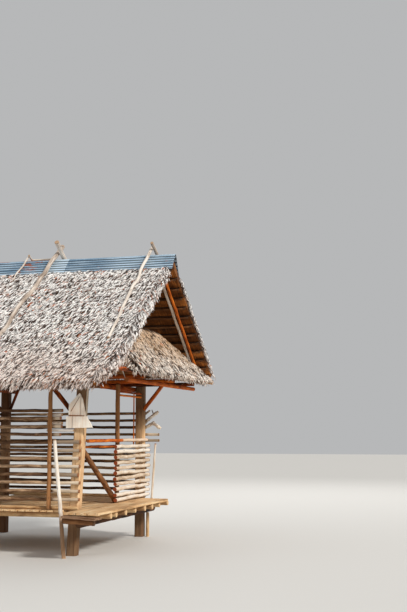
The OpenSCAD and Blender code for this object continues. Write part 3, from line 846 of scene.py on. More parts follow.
def settle(piece: bpy.types.Object, slot: str, *nodes: str) -> None:
    """Hand a finished piece to the frame, with nothing below the ground.

    Args:
        piece: The finished object.
        slot: Material slot of the record; not used.
        nodes: CAD nodes that it stands for.
    """
    for vert in piece.data.vertices:
        vert.co.z = max(vert.co.z, 0.0)
    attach(piece, BODY)
    if nodes:
        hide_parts(*nodes)
    triangles = sum(len(p.vertices) - 2 for p in piece.data.polygons)
    LOG.info("%s: %d triangles", piece.name, triangles)


def coat(material: bpy.types.Material, *nodes: str) -> None:
    """Give CAD nodes their finish, with their meshes as they are.

    Args:
        material: The finish.
        nodes: Names of the nodes.
    """
    for node in nodes:
        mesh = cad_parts[node].data
        mesh.materials.clear()
        mesh.materials.append(material)
        LOG.info("%s: CAD mesh with %s", node, material.name)


def mark(mesh: bpy.types.Mesh, name: str, values: list[float]) -> None:
    """Store one number for each point of a mesh."""
    mesh.attributes.new(name, "FLOAT", "POINT").data.foreach_set("value", values)


# Poles


@dataclass(frozen=True)
class Axis:
    """Centre line of one round piece: both ends and both radii, in metres."""

    start: Vector
    end: Vector
    start_radius: float
    end_radius: float


def islands(node: str) -> list[bmesh.types.BMesh]:
    """Split a copy of a CAD node into its separate solids.

    Args:
        node: Name of the CAD node.

    Returns:
        One merged bmesh for each solid, in a fixed order.
    """
    whole = bmesh.new()
    whole.from_mesh(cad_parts[node].data)
    bmesh.ops.remove_doubles(whole, verts=whole.verts, dist=MERGE)
    whole.verts.ensure_lookup_table()
    seen: set[int] = set()
    parts = []
    for seed in whole.verts:
        if seed.index in seen:
            continue
        stack, group = [seed], set()
        while stack:
            vert = stack.pop()
            if vert.index in group:
                continue
            group.add(vert.index)
            stack.extend(edge.other_vert(vert) for edge in vert.link_edges)
        seen |= group
        part = bmesh.new()
        made = {i: part.verts.new(whole.verts[i].co) for i in sorted(group)}
        for face in whole.faces:
            if face.verts[0].index in group:
                part.faces.new([made[v.index] for v in face.verts])
        parts.append(part)
    whole.free()
    return parts


def axis_of(points: np.ndarray, band: float = 0.02, share: float = 0.004) -> Axis:
    """Find the centre line of one round solid.

    Args:
        points: Its corners.
        band: How near an end a corner lies that belongs to it, at least.
        share: The same as a share of the length.

    Returns:
        Its axis, from the end with the lower coordinates.
    """
    middle = points.mean(0)
    axis = np.linalg.svd(points - middle, full_matrices=False)[2][0]
    reach = (points - middle) @ axis
    low, high = reach.min(), reach.max()
    ends = []
    for edge in (low, high):
        near = points[np.abs(reach - edge) < max(band, share * (high - low))]
        centre = near.mean(0)
        off = near - centre
        off -= np.outer(off @ axis, axis)
        flush = centre + axis * (edge - (centre - middle) @ axis)
        ends.append((Vector(flush), float(np.linalg.norm(off, axis=1).max())))
    (start, start_radius), (end, end_radius) = ends
    if start.x + start.y + start.z > end.x + end.y + end.z:
        return Axis(end, start, end_radius, start_radius)
    return Axis(start, end, start_radius, end_radius)


def axes_of(node: str) -> list[Axis]:
    """Find the centre lines of the round solids in a CAD node.

    Args:
        node: Name of the CAD node.

    Returns:
        One axis for each solid.
    """
    found = []
    for part in islands(node):
        found.append(axis_of(np.array([v.co[:] for v in part.verts])))
        part.free()
    return sorted(found, key=lambda a: (round(a.start.z, 3), round(a.start.y, 3), round(a.start.x, 3)))


@dataclass
class PoleSet:
    """Natural poles: those of the given CAD nodes, within bounds along x, and extra ones."""

    name: str
    nodes: tuple[str, ...]
    slot: str
    wood: Wood
    sway: float = 0.006
    lump: float = 0.10
    wave: float = 2.6
    bark: float = 0.0022
    step: float = 0.05
    sides: int = 12
    tone: Span = (0.15, 0.95)
    seed: int = 1
    tip: float = 0.012
    within: Span = EVERYWHERE
    extra: tuple[Axis, ...] = ()
    knobs: float = 7.0
    knob_level: float = 0.55
    girth: float = 0.97
    straight: float = 5.0
    own_bend: float = 3.7
    own_knobs: float = 5.1
    own_grain: Triple = (0.37, 0.71, 0.53)
    own_set: float = 7.3
    bumps: Triple = (14.0, 60.0, 60.0)

    def source(self) -> bpy.types.Mesh:
        """Lay one edge for each pole, with its radius and its own tone.

        Returns:
            The mesh that the tree starts from.
        """
        low, high = self.within
        spans = [axis for node in self.nodes for axis in axes_of(node) if low < axis.start.x < high]
        spans += self.extra
        tones = np.random.default_rng(self.seed).uniform(*self.tone, len(spans))
        mesh = bpy.data.meshes.new(self.name + "_axes")
        points = [p for a in spans for p in (a.start, a.end)]
        mesh.from_pydata(points, [(2 * i, 2 * i + 1) for i in range(len(spans))], [])
        mark(mesh, "thick", [r for a in spans for r in (a.start_radius, a.end_radius)])
        mark(mesh, "tone", [t for t in tones for _ in range(2)])
        first = self.seed * self.own_set
        mark(mesh, "stick", [i + first for i in range(len(spans)) for _ in range(2)])
        return mesh

    def tree(self) -> GeoTree:
        """Build the tree: bend, swell, skin and roughen each pole.

        Returns:
            The tree, ready to bake.
        """
        made = GeoTree(self.name + "_poles")
        sway = made.size("Sway", self.sway)
        lump = made.size("Lump", self.lump)
        bark = made.size("Bark", self.bark)
        curve = made.lines(made.size("Step", self.step))
        along = made.node("GeometryNodeSplineParameter", output="Length")
        factor = made.node("GeometryNodeSplineParameter", output="Factor")
        stick, thick = made.named("stick"), made.named("thick")
        curve = made.store(curve, "along", along)
        # The bend fades at both ends, so that each pole starts and stops where its cylinder does
        bow = (factor * (1.0 - factor) * self.straight).least(1.0)
        spot = made.vector(along, stick * self.own_bend)
        wander = made.noise(spot, self.wave, 2.0, 0.5, output="Color")
        drift = made.vectors("SUBTRACT", wander, (0.5, 0.5, 0.5))
        curve = made.moved(curve, made.scaled(drift, bow * (sway * COLOR_SWING)))
        spot = made.vector(along, 0.0, stick * self.own_knobs)
        swell = made.noise(spot, self.knobs, 2.0, 0.5) - self.knob_level
        girth = swell * (lump * NOISE_SWING) + self.girth
        curve = made.store(curve, "girth", thick * girth)
        # The last stretch at both ends is marked, so that the finish can show the cut
        edge = along.least(made.node("GeometryNodeSplineLength") - along)
        curve = made.store(curve, "tip", 1.0 - (edge / self.tip).least(1.0))
        curve = made.node("GeometryNodeSetCurveRadius", sockets={"Curve": curve, "Radius": 1.0})
        ring = made.node("GeometryNodeCurvePrimitiveCircle", sockets={"Resolution": self.sides})
        ring = made.store(ring, "around", made.node("GeometryNodeInputPosition"), "FLOAT_VECTOR")
        sockets = {"Curve": curve, "Profile Curve": ring, "Scale": made.named("girth"), "Fill Caps": True}
        skin = made.node("GeometryNodeCurveToMesh", None, sockets)
        side, up, _ = made.axes(made.named("around", "FLOAT_VECTOR"))
        grain = made.vector(made.named("along"), side * thick, up * thick)
        grain = made.vectors("ADD", grain, made.scaled(self.own_grain, stick))
        skin = made.store(skin, "grain", grain, "FLOAT_VECTOR")
        rough = made.vectors("MULTIPLY", made.named("grain", "FLOAT_VECTOR"), self.bumps)
        skin = made.pushed(skin, (made.noise(rough, 1.0, 2.0, 0.5) - 0.5) * bark)
        made.close(skin, self.wood.value.material())
        return made

    def build(self) -> None:
        """Make the poles, round along their sides, and hand them to the frame."""
        piece = self.tree().bake(self.name, self.source())
        for polygon in piece.data.polygons:
            polygon.use_smooth = len(polygon.vertices) == 4
        settle(piece, self.slot, *self.nodes)


# Timbers


@dataclass
class Timbers:
    """Squared timber and boards of CAD nodes, within bounds along y, with worn and wavy faces."""

    name: str
    nodes: tuple[str, ...]
    slot: str
    wood: Wood
    cell: Triple = (0.045, 0.045, 0.07)
    wear: float = 0.004
    level: float = 0.62
    stretch: Triple = (9.0, 9.0, 2.2)
    within: Span = EVERYWHERE

    def cut(self, part: bmesh.types.BMesh, low: np.ndarray, high: np.ndarray) -> None:
        """Cut a solid into a grid of small faces.

        Args:
            part: The solid.
            low: Lowest corner of its box.
            high: Highest corner of its box.
        """
        for axis in range(3):
            count = int((high[axis] - low[axis]) / self.cell[axis])
            normal = Vector([1.0 if i == axis else 0.0 for i in range(3)])
            for k in range(1, count + 1):
                place = low[axis] + (high[axis] - low[axis]) * k / (count + 1)
                bmesh.ops.bisect_plane(
                    part,
                    geom=part.verts[:] + part.edges[:] + part.faces[:],
                    plane_co=normal * place,
                    plane_no=normal,
                    dist=CUT_MERGE,
                )

    def source(self) -> bpy.types.Mesh:
        """Copy the CAD solids whose middle lies within the bounds, and cut them.

        Returns:
            The cut mesh.
        """
        joined = bmesh.new()
        mesh = bpy.data.meshes.new(self.name + "_cut")
        flat = math.radians(1)
        for part in [part for node in self.nodes for part in islands(node)]:
            bmesh.ops.dissolve_limit(part, angle_limit=flat, verts=part.verts, edges=part.edges)
            points = np.array([v.co[:] for v in part.verts])
            low, high = points.min(0), points.max(0)
            if self.within[0] < (low[1] + high[1]) / 2 < self.within[1]:
                self.cut(part, low, high)
                part.to_mesh(mesh)
                joined.from_mesh(mesh)
            part.free()
        bmesh.ops.recalc_face_normals(joined, faces=joined.faces)
        joined.to_mesh(mesh)
        joined.free()
        return mesh

    def tree(self) -> GeoTree:
        """Build the tree that dents the faces.

        Returns:
            The tree, ready to bake.
        """
        made = GeoTree(self.name + "_wear")
        wear = made.size("Wear", self.wear)
        place = made.vectors("MULTIPLY", made.node("GeometryNodeInputPosition"), self.stretch)
        dent = made.noise(place, 1.0, 3.0, 0.5) - self.level
        skin = made.pushed(made.start(), dent * (wear * NOISE_SWING))
        made.close(skin, self.wood.value.material())
        return made

    def build(self) -> None:
        """Make the timbers and hand them to the frame."""
        settle(self.tree().bake(self.name, self.source()), self.slot, *self.nodes)


# Thatch


@dataclass(frozen=True)
class Course:
    """One line of leaf roots: its ends along the slope, its place down it and its height."""

    left: float
    right: float
    down: float
    height: float
    slant: float = 0.0


@dataclass(frozen=True)
class Slope:
    """A plane that leaves lie on: its top line, its fall and its outward side."""

    origin: Vector
    along: Vector
    down: Vector
    out: Vector

    def matrix(self) -> Matrix:
        """Return the turn and shift from slope coordinates to the house."""
        turn = Matrix((self.along, self.down, self.out)).transposed().to_4x4()
        return Matrix.Translation(self.origin) @ turn

    def splay(
        self,
        side: Vector,
        edge: float,
        spans: list[Triple],
        rows: tuple[Span, ...],
        turn: float,
        droop: float = math.radians(48),
    ) -> tuple["Slope", list[Course], float]:
        """Lay leaves that splay over a side edge of the slope.

        Args:
            side: Direction out over the edge.
            edge: Distance of the edge from the slope's origin.
            spans: Upper end, lower end and slant of each stretch of the edge.
            rows: Inset from the edge and height above the slope of each line.
            turn: How far the leaves turn towards the eave.
            droop: How steeply they fall from the slope.

        Returns:
            Their plane, their lines and their turn.
        """
        down = side * math.cos(droop) - self.out * math.sin(droop)
        out = side * math.sin(droop) + self.out * math.cos(droop)
        along = down.cross(out)
        sign = 1.0 if along.dot(self.down) > 0 else -1.0
        found = []
        for inset, height in rows:
            root = self.out * height - side * inset
            place, level = root.dot(down), root.dot(out)
            for upper, lower, slant in spans:
                if sign > 0:
                    found.append(Course(upper, lower, place, level, slant))
                else:
                    found.append(Course(-lower, -upper, place + slant, level, -slant))
        return Slope(self.origin + side * edge, along, down, out), found, -turn * sign

    def hang(
        self, edge: float, span: Span, rows: tuple[Span, ...], sag: float = math.radians(12)
    ) -> tuple["Slope", list[Course]]:
        """Lay leaves that hang over the butt at the lower edge of the slope.

        Args:
            edge: Distance of the edge down the slope.
            span: Both ends along the edge.
            rows: Inset from the edge and height above the slope of each line.
            sag: How much steeper than the slope they hang.

        Returns:
            Their plane and their lines.
        """
        down = self.down * math.cos(sag) - self.out * math.sin(sag)
        out = self.down * math.sin(sag) + self.out * math.cos(sag)
        found = []
        for inset, height in rows:
            root = self.out * height - self.down * inset
            found.append(Course(*span, root.dot(down), root.dot(out)))
        return Slope(self.origin + self.down * edge, self.along, down, out), found


@dataclass
class LeafCover:
    """Leaves laid in courses over a slope, each a folded strip that curls to a point."""

    name: str
    slope: Slope
    courses: list[Course]
    slot: str
    material: bpy.types.Material
    spacing: float
    seed: int
    skew: float
    length: float = 0.17
    width: float = 0.0068
    fold: float = 0.004
    curl: float = 0.012
    lift: float = 0.14
    scatter: float = 0.6
    stray: Triple = (0.014, 0.03, 0.004)
    # How much painted shade the leaf's root gets
    root: float = 1.0
    # Place along the leaf, share of its width and share of its curl, at each cross section
    rings: tuple[Triple, ...] = ((0.0, 0.8, 0.0), (0.7, 1.0, 0.8))
    # Least and greatest width, length and thickness, as shares of the leaf's own
    sizes: tuple[Span, Span, Span] = ((0.65, 1.3), (0.78, 1.12), (0.6, 1.6))
    tilt: float = 0.03
    roll: float = 0.6

    def blade(self) -> bpy.types.Object:
        """Make one leaf: a strip with a raised rib, closed below and at its root.

        Returns:
            A helper object that the tree takes its leaf from.
        """
        mesh = bpy.data.meshes.new(self.name + "_blade")
        points, marks = [], []
        for t, share, rise in self.rings:
            half = self.width * share
            for side, high in ((-1.0, 0.0), (0.0, 1.0), (1.0, 0.0)):
                points.append((half * side, t * self.length, self.fold * share * high + rise * self.curl))
                marks.append((side * 0.5 + 0.5, t, self.root))
        points.append((0.0, self.length, -self.curl))
        marks.append((0.5, 1.0, self.root))
        faces = [(0, 2, 1)]
        tip = 3 * len(self.rings)
        for a in range(0, tip - 3, 3):
            b = a + 3
            faces += [(a, a + 1, b + 1, b), (a + 1, a + 2, b + 2, b + 1), (a + 2, a, b, b + 2)]
        last = tip - 3
        faces += [(last, last + 1, tip), (last + 1, last + 2, tip), (last + 2, last, tip)]
        mesh.from_pydata(points, [], faces)
        blade = mesh.attributes.new("blade", "FLOAT_VECTOR", "POINT")
        blade.data.foreach_set("vector", [c for place in marks for c in place])
        skin = bmesh.new()
        skin.from_mesh(mesh)
        bmesh.ops.recalc_face_normals(skin, faces=skin.faces)
        skin.to_mesh(mesh)
        skin.free()
        return link(self.name + "_blade", mesh)

    def source(self) -> bpy.types.Mesh:
        """Lay one edge for each course.

        Returns:
            The mesh that the tree starts from, in slope coordinates.
        """
        mesh = bpy.data.meshes.new(self.name + "_lines")
        points = []
        for c in self.courses:
            points += [(c.left, c.down, c.height), (c.right, c.down + c.slant, c.height)]
        mesh.from_pydata(points, [(2 * i, 2 * i + 1) for i in range(len(self.courses))], [])
        return mesh

    def tree(self, blade: bpy.types.Object) -> GeoTree:
        """Build the tree: spread points along the courses and set a leaf on each.

        Args:
            blade: The leaf.

        Returns:
            The tree, ready to bake.
        """
        made = GeoTree(self.name + "_leaves")
        curve = made.lines(made.size("Leaf spacing", self.spacing))
        lift = made.size("Lift", self.lift)
        skew = made.size("Skew", self.skew)
        scatter = made.size("Scatter", self.scatter)
        leaf = made.size("Leaf", blade, "NodeSocketObject")
        points = made.node("GeometryNodeCurveToPoints", {"mode": "EVALUATED"}, {"Curve": curve})
        wander = made.chance((-1.0, -1.0, -0.5), (1.0, 1.0, 1.0), self.seed, "FLOAT_VECTOR")
        points = made.moved(points, made.vectors("MULTIPLY", wander, self.stray))
        points = made.store(points, "tone", made.chance(0.0, 1.0, self.seed + 8))
        turn, wide = (made.chance(-1.0, 1.0, self.seed + k) for k in (1, 2))
        # Brighter leaves tilt up more, so the dark tones lie low and stand for painted shade between the
        # leaves
        tilt = made.named("tone") * lift + made.chance(-self.tilt, self.tilt, self.seed + 3)
        roll = made.chance(-self.roll, self.roll, self.seed + 4)
        sizes = [made.chance(*limits, self.seed + k) for k, limits in enumerate(self.sizes, 5)]
        sockets = {
            "Points": points,
            "Instance": made.node(
                "GeometryNodeObjectInfo", {"transform_space": "ORIGINAL"}, {"Object": leaf}, "Geometry"
            ),
            "Rotation": made.vector(tilt, roll, turn * wide * scatter + skew),
            "Scale": made.vector(*sizes),
        }
        made.close(made.node("GeometryNodeInstanceOnPoints", None, sockets), self.material)
        return made

    def build(self) -> None:
        """Make the leaves and hand them to the frame."""
        blade = self.blade()
        piece = self.tree(blade).bake(self.name, self.source())
        helper = blade.data
        bpy.data.objects.remove(blade)
        bpy.data.meshes.remove(helper)
        piece.data.transform(self.slope.matrix())
        settle(piece, self.slot)


class Leaf(Enum):
    """The two leaf finishes: sun-faded grey on the slopes, tan on the aprons."""

    # In both finishes the darkest tones go to the lowest leaves, as painted shade
    GREY = DryLeaf(
        "leaf_grey",
        (
            (0.0, linear(66, 44, 34)),
            (0.14, linear(120, 90, 76)),
            (0.22, linear(226, 211, 202)),
            (0.38, linear(250, 241, 235)),
            (0.6, linear(255, 253, 250)),
            (0.985, linear(254, 252, 249)),
            (1.0, linear(204, 116, 66)),
        ),
    )
    TAN = DryLeaf(
        "leaf_tan",
        (
            (0.0, linear(60, 44, 32)),
            (0.22, linear(104, 82, 66)),
            (0.34, linear(188, 165, 146)),
            (0.6, linear(234, 216, 200)),
            (0.88, linear(253, 245, 235)),
            (1.0, linear(253, 246, 238)),
        ),
        warm=linear(216, 166, 102),
        warm_at=(2.45, 2.95, 0.0, 0.55),
        across=(0.0, 1.0, 0.0),
        fine=40.0,
        gap=0.54,
    )


class Bed(Enum):
    """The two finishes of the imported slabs."""

    SLOPE = ThatchBed(
        "thatch_bed", 0.205, linear(96, 78, 68), linear(120, 70, 30), linear(222, 142, 70)
    )
    APRON = ThatchBed("apron_bed", 0.19, linear(110, 84, 62), linear(112, 76, 42), linear(186, 142, 92))


@dataclass(frozen=True)
class Side:
    """What differs between the front and the back slope: its shape and how its leaves lie."""

    name: str
    slot: str
    # -1 falls to the front and 1 to the back
    way: float
    over: float
    # Where each course has its lines of roots, from its butt
    lines: tuple[float, ...]
    # How far the leaves pass the slab's ends, and how much shorter they are at the eave
    past: float
    trim: float
    spacing: float
    width: float
    skew: float
    scatter: float
    seed: int
    eave_skew: float
    eave_seed: int
    rake_rows: tuple[Span, ...]
    rake_turn: float
    rake_taper: float
    rake_spacing: float
    rake_seed: int


FRONT = Side(
    name="front",
    slot="thatch_grey",
    way=-1.0,
    over=1.44,
    lines=(-0.26, -0.225, -0.19, -0.155, -0.12, -0.085),
    past=0.07,
    trim=0.061,
    spacing=0.012,
    width=0.006,
    skew=-0.36,
    scatter=0.5,
    seed=11,
    eave_skew=-0.3,
    eave_seed=61,
    rake_rows=(
        (-0.07, 0.125),
        (-0.06, 0.115),
        (-0.05, 0.1),
        (-0.035, 0.085),
        (-0.02, 0.07),
        (-0.01, 0.05),
        (-0.005, 0.03),
    ),
    rake_turn=0.95,
    rake_taper=0.42,
    rake_spacing=0.011,
    rake_seed=91,
)
BACK = Side(
    name="back",
    slot="thatch_tan",
    way=1.0,
    over=0.925,
    lines=(-0.24, -0.185, -0.13, -0.08),
    past=-0.02,
    trim=0.0,
    spacing=0.017,
    width=0.009,
    skew=0.2,
    scatter=0.7,
    seed=211,
    eave_skew=0.15,
    eave_seed=81,
    rake_rows=((0.03, 0.13), (0.02, 0.11), (0.01, 0.08), (0.0, 0.05)),
    rake_turn=1.3,
    rake_taper=0.0,
    rake_spacing=0.02,
    rake_seed=141,
)


@dataclass
class Roof:
    """The two thatched slopes, from the same sizes as the solids."""

    half_length: float = 1.16
    depth: float = 2.5
    rake_over: float = 0.89
    ridge_height: float = 4.05
    pitch: float = math.radians(36)
    thatch: float = 0.095
    butt: float = 0.03
    course: float = 0.205
    cap_width: float = 0.52
    cap_lap: float = 0.12
    butt_inset: float = 0.025
    clear: float = 0.003
    trim_length: float = 0.9
    eave_inset: float = 0.01
    rake_start: float = 0.42
    rake_stop: float = 0.05
    rake_slant: float = -0.11
    eave_rows: tuple[Span, ...] = (
        (0.09, 0.105),
        (0.08, 0.09),
        (0.075, 0.075),
        (0.075, 0.06),
        (0.08, 0.045),
        (0.085, 0.03),
    )

    def half_roof(self) -> float:
        """Return half the length of the thatch."""
        return self.half_length + self.rake_over

    def ridge_y(self) -> float:
        """Return where the ridge lies, from the middle of the plan."""
        return (FRONT.over - BACK.over) / 2

    def slope(self, side: Side) -> Slope:
        """Find the underside plane of a slope, from the ridge down.

        Args:
            side: Which slope.

        Returns:
            The plane.
        """
        down = Vector((0.0, side.way * math.cos(self.pitch), -math.sin(self.pitch)))
        out = Vector((0.0, side.way * math.sin(self.pitch), math.cos(self.pitch)))
        return Slope(Vector((0.0, self.ridge_y(), self.ridge_height)), down.cross(out), down, out)

    def slope_length(self, side: Side) -> float:
        """Return the length of a slope down to its eave."""
        return (self.depth / 2 + side.over) / math.cos(self.pitch)

    def reach(self, side: Side, down: float) -> float:
        """Return how far the leaves go along a slope at a place down it."""
        start = self.slope_length(side) - self.trim_length
        return self.half_roof() - max(0.0, (down - start) / self.trim_length) * side.trim

    def courses(self, side: Side) -> list[Course]:
        """Lay the courses of a slope, from the eave up to the ridge sheets.

        Args:
            side: Which slope.

        Returns:
            The courses, with several lines of leaves for each.
        """
        found = []
        total = self.slope_length(side)
        for k in range(int((total - self.cap_width + self.cap_lap) / self.course)):
            butt = total - self.butt_inset - k * self.course
            span = self.reach(side, butt) + side.past
            for shift in side.lines:
                height = self.thatch + self.butt * max(0.0, 1 + shift / self.course) + self.clear
                found.append(Course(-span, span, butt + shift, height))
        return found

    def rake(self, side: Side, way: float) -> tuple[Slope, list[Course], float]:
        """Lay the leaves that splay over the gable face of a slope.

        Args:
            side: Which slope.
            way: 1 for the gable on the right, -1 for the left one.

        Returns:
            Their plane, their lines and their turn towards the eave.
        """
        eave = self.slope_length(side) - self.rake_stop
        bend = eave - side.rake_taper
        spans = [(self.rake_start, bend, 0.0)]
        if side.rake_taper:
            spans.append((bend, eave, self.rake_slant))
        out = Vector((way, 0.0, 0.0))
        return self.slope(side).splay(out, self.half_roof(), spans, side.rake_rows, side.rake_turn)

    def build(self) -> None:
        """Coat the slabs, and lay the leaves of both slopes and their edges."""
        coat(Bed.SLOPE.value.material(), "thatch_front", "thatch_back")
        grey = Leaf.GREY.value.material()
        for side in (FRONT, BACK):
            plane, courses = self.slope(side), self.courses(side)
            middle = len(courses) // 2
            halves = (("lower", courses[:middle]), ("upper", courses[middle:]))
            for part, (name, lines) in enumerate(halves):
                LeafCover(
                    f"leaves_{side.name}_{name}",
                    plane,
                    lines,
                    side.slot,
                    grey,
                    side.spacing,
                    side.seed + SEED_STEP * part,
                    side.skew,
                    width=side.width,
                    scatter=side.scatter,
                ).build()
            length = self.slope_length(side)
            half = self.reach(side, length) - self.eave_inset
            LeafCover(
                f"fringe_eave_{side.name}",
                *plane.hang(length, (-half, half), self.eave_rows),
                side.slot,
                grey,
                spacing=0.009,
                seed=side.eave_seed,
                skew=side.eave_skew,
                length=0.13,
                lift=0.2,
                scatter=0.5,
                root=0.6,
            ).build()
            for way, gable in ((1.0, "right"), (-1.0, "left")):
                edge, lines, turn = self.rake(side, way)
                LeafCover(
                    f"fringe_rake_{side.name}_{gable}",
                    edge,
                    lines,
                    side.slot,
                    grey,
                    side.rake_spacing,
                    side.rake_seed + (SEED_STEP if way > 0 else 0),
                    turn,
                    length=0.13,
                    width=0.006,
                    lift=0.25,
                    root=0.3,
                ).build()


@dataclass
class Apron:
    """The thatched apron under one gable, between the two slopes."""

    roof: Roof
    gable: str
    way: float
    seed: int
    edge_seed: int
    pitch: float = math.radians(48)
    thatch: float = 0.058
    butt: float = 0.022
    length: float = 1.0
    inset: float = 0.25
    front: float = 0.38
    room: float = 0.12
    rafter: float = 0.1039
    corner: float = 2.12
    corner_start: float = 0.5
    corner_slant: float = 0.25
    count: int = 5
    top: float = -0.02
    under: float = 0.0706
    pole_height: float = 3.0295
    foot_gap: float = 0.03
    butt_inset: float = 0.015
    root_gap: float = 0.01
    line_gap: float = 0.02
    leaf_reach: float = 0.1
    overlap: float = 0.02
    shortest: float = 0.1
    lines: tuple[float, ...] = (-0.26, -0.22, -0.18, -0.14)
    edge_rows: tuple[Span, ...] = ((0.0, 0.145), (0.0, 0.125), (0.0, 0.105), (0.0, 0.09))
    end_start: float = 0.6
    end_turn: float = 0.7
    foot_inset: float = 0.07
    foot_short: float = 0.32

    def front_end(self) -> float:
        """Return where the apron ends towards the front."""
        return self.roof.ridge_y() - self.roof.depth / 2 - self.front

    def slope(self) -> Slope:
        """Find the plane of the apron's poles, from its top pole down.

        Returns:
            The plane.
        """
        down = Vector((self.way * math.cos(self.pitch), 0.0, -math.sin(self.pitch)))
        out = Vector((self.way * math.sin(self.pitch), 0.0, math.cos(self.pitch)))
        origin = Vector((self.way * (self.roof.half_length + self.inset), 0.0, self.pole_height))
        return Slope(origin, down.cross(out), down, out)

    def courses(self) -> list[Course]:
        """Lay the courses, cut to the undersides of both slopes.

        Returns:
            The courses.
        """
        plane, roof = self.slope(), self.roof
        middle = roof.ridge_y()
        base = self.under + self.thatch
        step = (self.length - self.foot_gap) / self.count
        ceiling = roof.ridge_height - self.rafter / math.cos(roof.pitch) - self.room
        found = []
        for k in range(self.count + 1):
            butt = self.top + self.length - self.butt_inset - k * step
            for line, shift in enumerate(self.lines):
                down = max(butt + shift, self.top + self.root_gap + self.line_gap * line)
                height = base + self.butt * max(0.0, 1 + shift / step) + roof.clear
                spot = plane.origin + plane.down * (down + self.leaf_reach) + plane.out * height
                half = (ceiling - spot.z) / math.tan(roof.pitch)
                corner = self.corner - max(0.0, down - self.corner_start) * self.corner_slant
                back_end = min(middle + half - self.overlap, corner)
                front_end = max(self.front_end(), middle - half) - self.overlap
                left, right = sorted(y * plane.along.y for y in (front_end, back_end))
                if right - left > self.shortest:
                    found.append(Course(left, right, down, height))
        return found

    def edges(self) -> dict[str, tuple[Slope, list[Course], float]]:
        """Lay the leaves over the front end and the lower edge.

        Returns:
            Plane, lines and turn of the leaves at each edge.
        """
        plane, edge = self.slope(), self.top + self.length
        side = Vector((0.0, -1.0, 0.0))
        spans = [(self.end_start, edge - self.foot_gap, 0.0)]
        end = plane.splay(side, -self.front_end(), spans, self.edge_rows, self.end_turn)
        ends = (self.front_end() + self.overlap, self.corner - self.foot_short)
        span = tuple(sorted(y * plane.along.y for y in ends))
        rows = tuple((inset + self.foot_inset, height) for inset, height in self.edge_rows)
        return {"end": end, "foot": (*plane.hang(edge, span, rows), 0.0)}

    def build(self, bed: bpy.types.Material, tan: bpy.types.Material) -> None:
        """Coat the slab, and lay the leaves of the apron and of its edges.

        Args:
            bed: Material of the slab.
            tan: Material of the leaves.
        """
        coat(bed, f"apron_thatch_{self.gable}")
        LeafCover(
            f"leaves_apron_{self.gable}",
            self.slope(),
            self.courses(),
            "thatch_tan",
            tan,
            spacing=0.012,
            seed=self.seed,
            skew=0.06 * self.way,
            length=0.2,
            lift=0.1,
            scatter=0.5,
        ).build()
        for k, (name, (plane, lines, turn)) in enumerate(self.edges().items()):
            LeafCover(
                f"fringe_apron_{self.gable}_{name}",
                plane,
                lines,
                "thatch_tan",
                tan,
                spacing=0.009,
                seed=self.edge_seed + SEED_STEP * k,
                skew=turn,
                length=0.12,
                width=0.005,
                lift=0.2,
                root=0.4,
            ).build()


# Woodwork


@dataclass
class HewnWork:
    """Squared posts, floor and ledge boards, the boards at the corner and the bent branches."""

    ledge_end: float = -1.0
    slat_cell: Triple = (0.05, 0.09, 0.03)
    ledge_cell: Triple = (0.04, 0.06, 0.03)
    end_cell: Triple = (0.03, 0.03, 0.015)
    small_cell: Triple = (0.03, 0.03, 0.03)
    branch_dents: Triple = (24.0, 24.0, 24.0)

    def build(self) -> None:
        """Make the hewn pieces."""
        floor, ledge = "floor_wood", ("side_ledge",)
        most, end = (self.ledge_end, FAR), (-FAR, self.ledge_end)
        for piece in (
            Timbers("hewn_posts_front", ("front_posts",), "post_wood", Wood.POST),
            Timbers("hewn_posts_back", ("back_posts",), "post_wood", Wood.POST),
            Timbers("boards_floor", ("floor_slats",), floor, Wood.FLOOR, self.slat_cell, wear=0.002),
            Timbers("boards_ledge", ledge, floor, Wood.FLOOR, self.ledge_cell, within=most),
            Timbers("board_ledge_end", ledge, floor, Wood.DARK, self.end_cell, wear=0.012, within=end),
            Timbers(
                "boards_corner", ("corner_board",), "pale_wood", Wood.BOARD, self.small_cell, wear=0.002
            ),
            Timbers(
                "branches_corner",
                ("crooked_ends",),
                "pale_wood",
                Wood.BRANCH,
                self.small_cell,
                wear=0.016,
                level=0.2,
                stretch=self.branch_dents,
            ),
        ):
            piece.build()


@dataclass
class PoleFrame:
    """Round poles that carry the floor, the ledge, the walls and the eaves."""

    slot: str = "frame_wood"

    def build(self) -> None:
        """Make the poles."""
        slot = self.slot
        for poles in (
            PoleSet("poles_jamb", ("jamb_posts",), slot, Wood.FRAME, sway=0.005),
            PoleSet("poles_stud", ("front_studs",), slot, Wood.FRAME, sway=0.008),
            PoleSet("poles_plate", ("wall_plates",), slot, Wood.FRAME, sway=0.002),
            # Tie beams and knee braces get low tones: painted shade under the roof
            PoleSet("poles_tie", ("tie_beams",), slot, Wood.ORANGE, sway=0.003, tone=(-0.2, 0.3)),
            PoleSet("poles_knee", ("knee_braces",), slot, Wood.ORANGE, sway=0.004, tone=(-0.1, 0.4)),
            # Bearers get low tones: painted shade under the floor and ledge
            PoleSet("poles_bearer", ("floor_bearers",), slot, Wood.FRAME, sway=0.003, tone=(-0.3, 0.1)),
            PoleSet("poles_joist", ("floor_joists",), slot, Wood.FLOOR_POLE, sway=0.002),
            PoleSet("poles_toe", ("toe_poles",), "floor_wood", Wood.FLOOR_POLE, sway=0.003),
            PoleSet("poles_header", ("ledge_header",), slot, Wood.FRAME, sway=0.002),
            PoleSet("poles_prop", ("ledge_prop",), "post_wood", Wood.FLOOR_POLE, sway=0.003),
        ):
            poles.build()


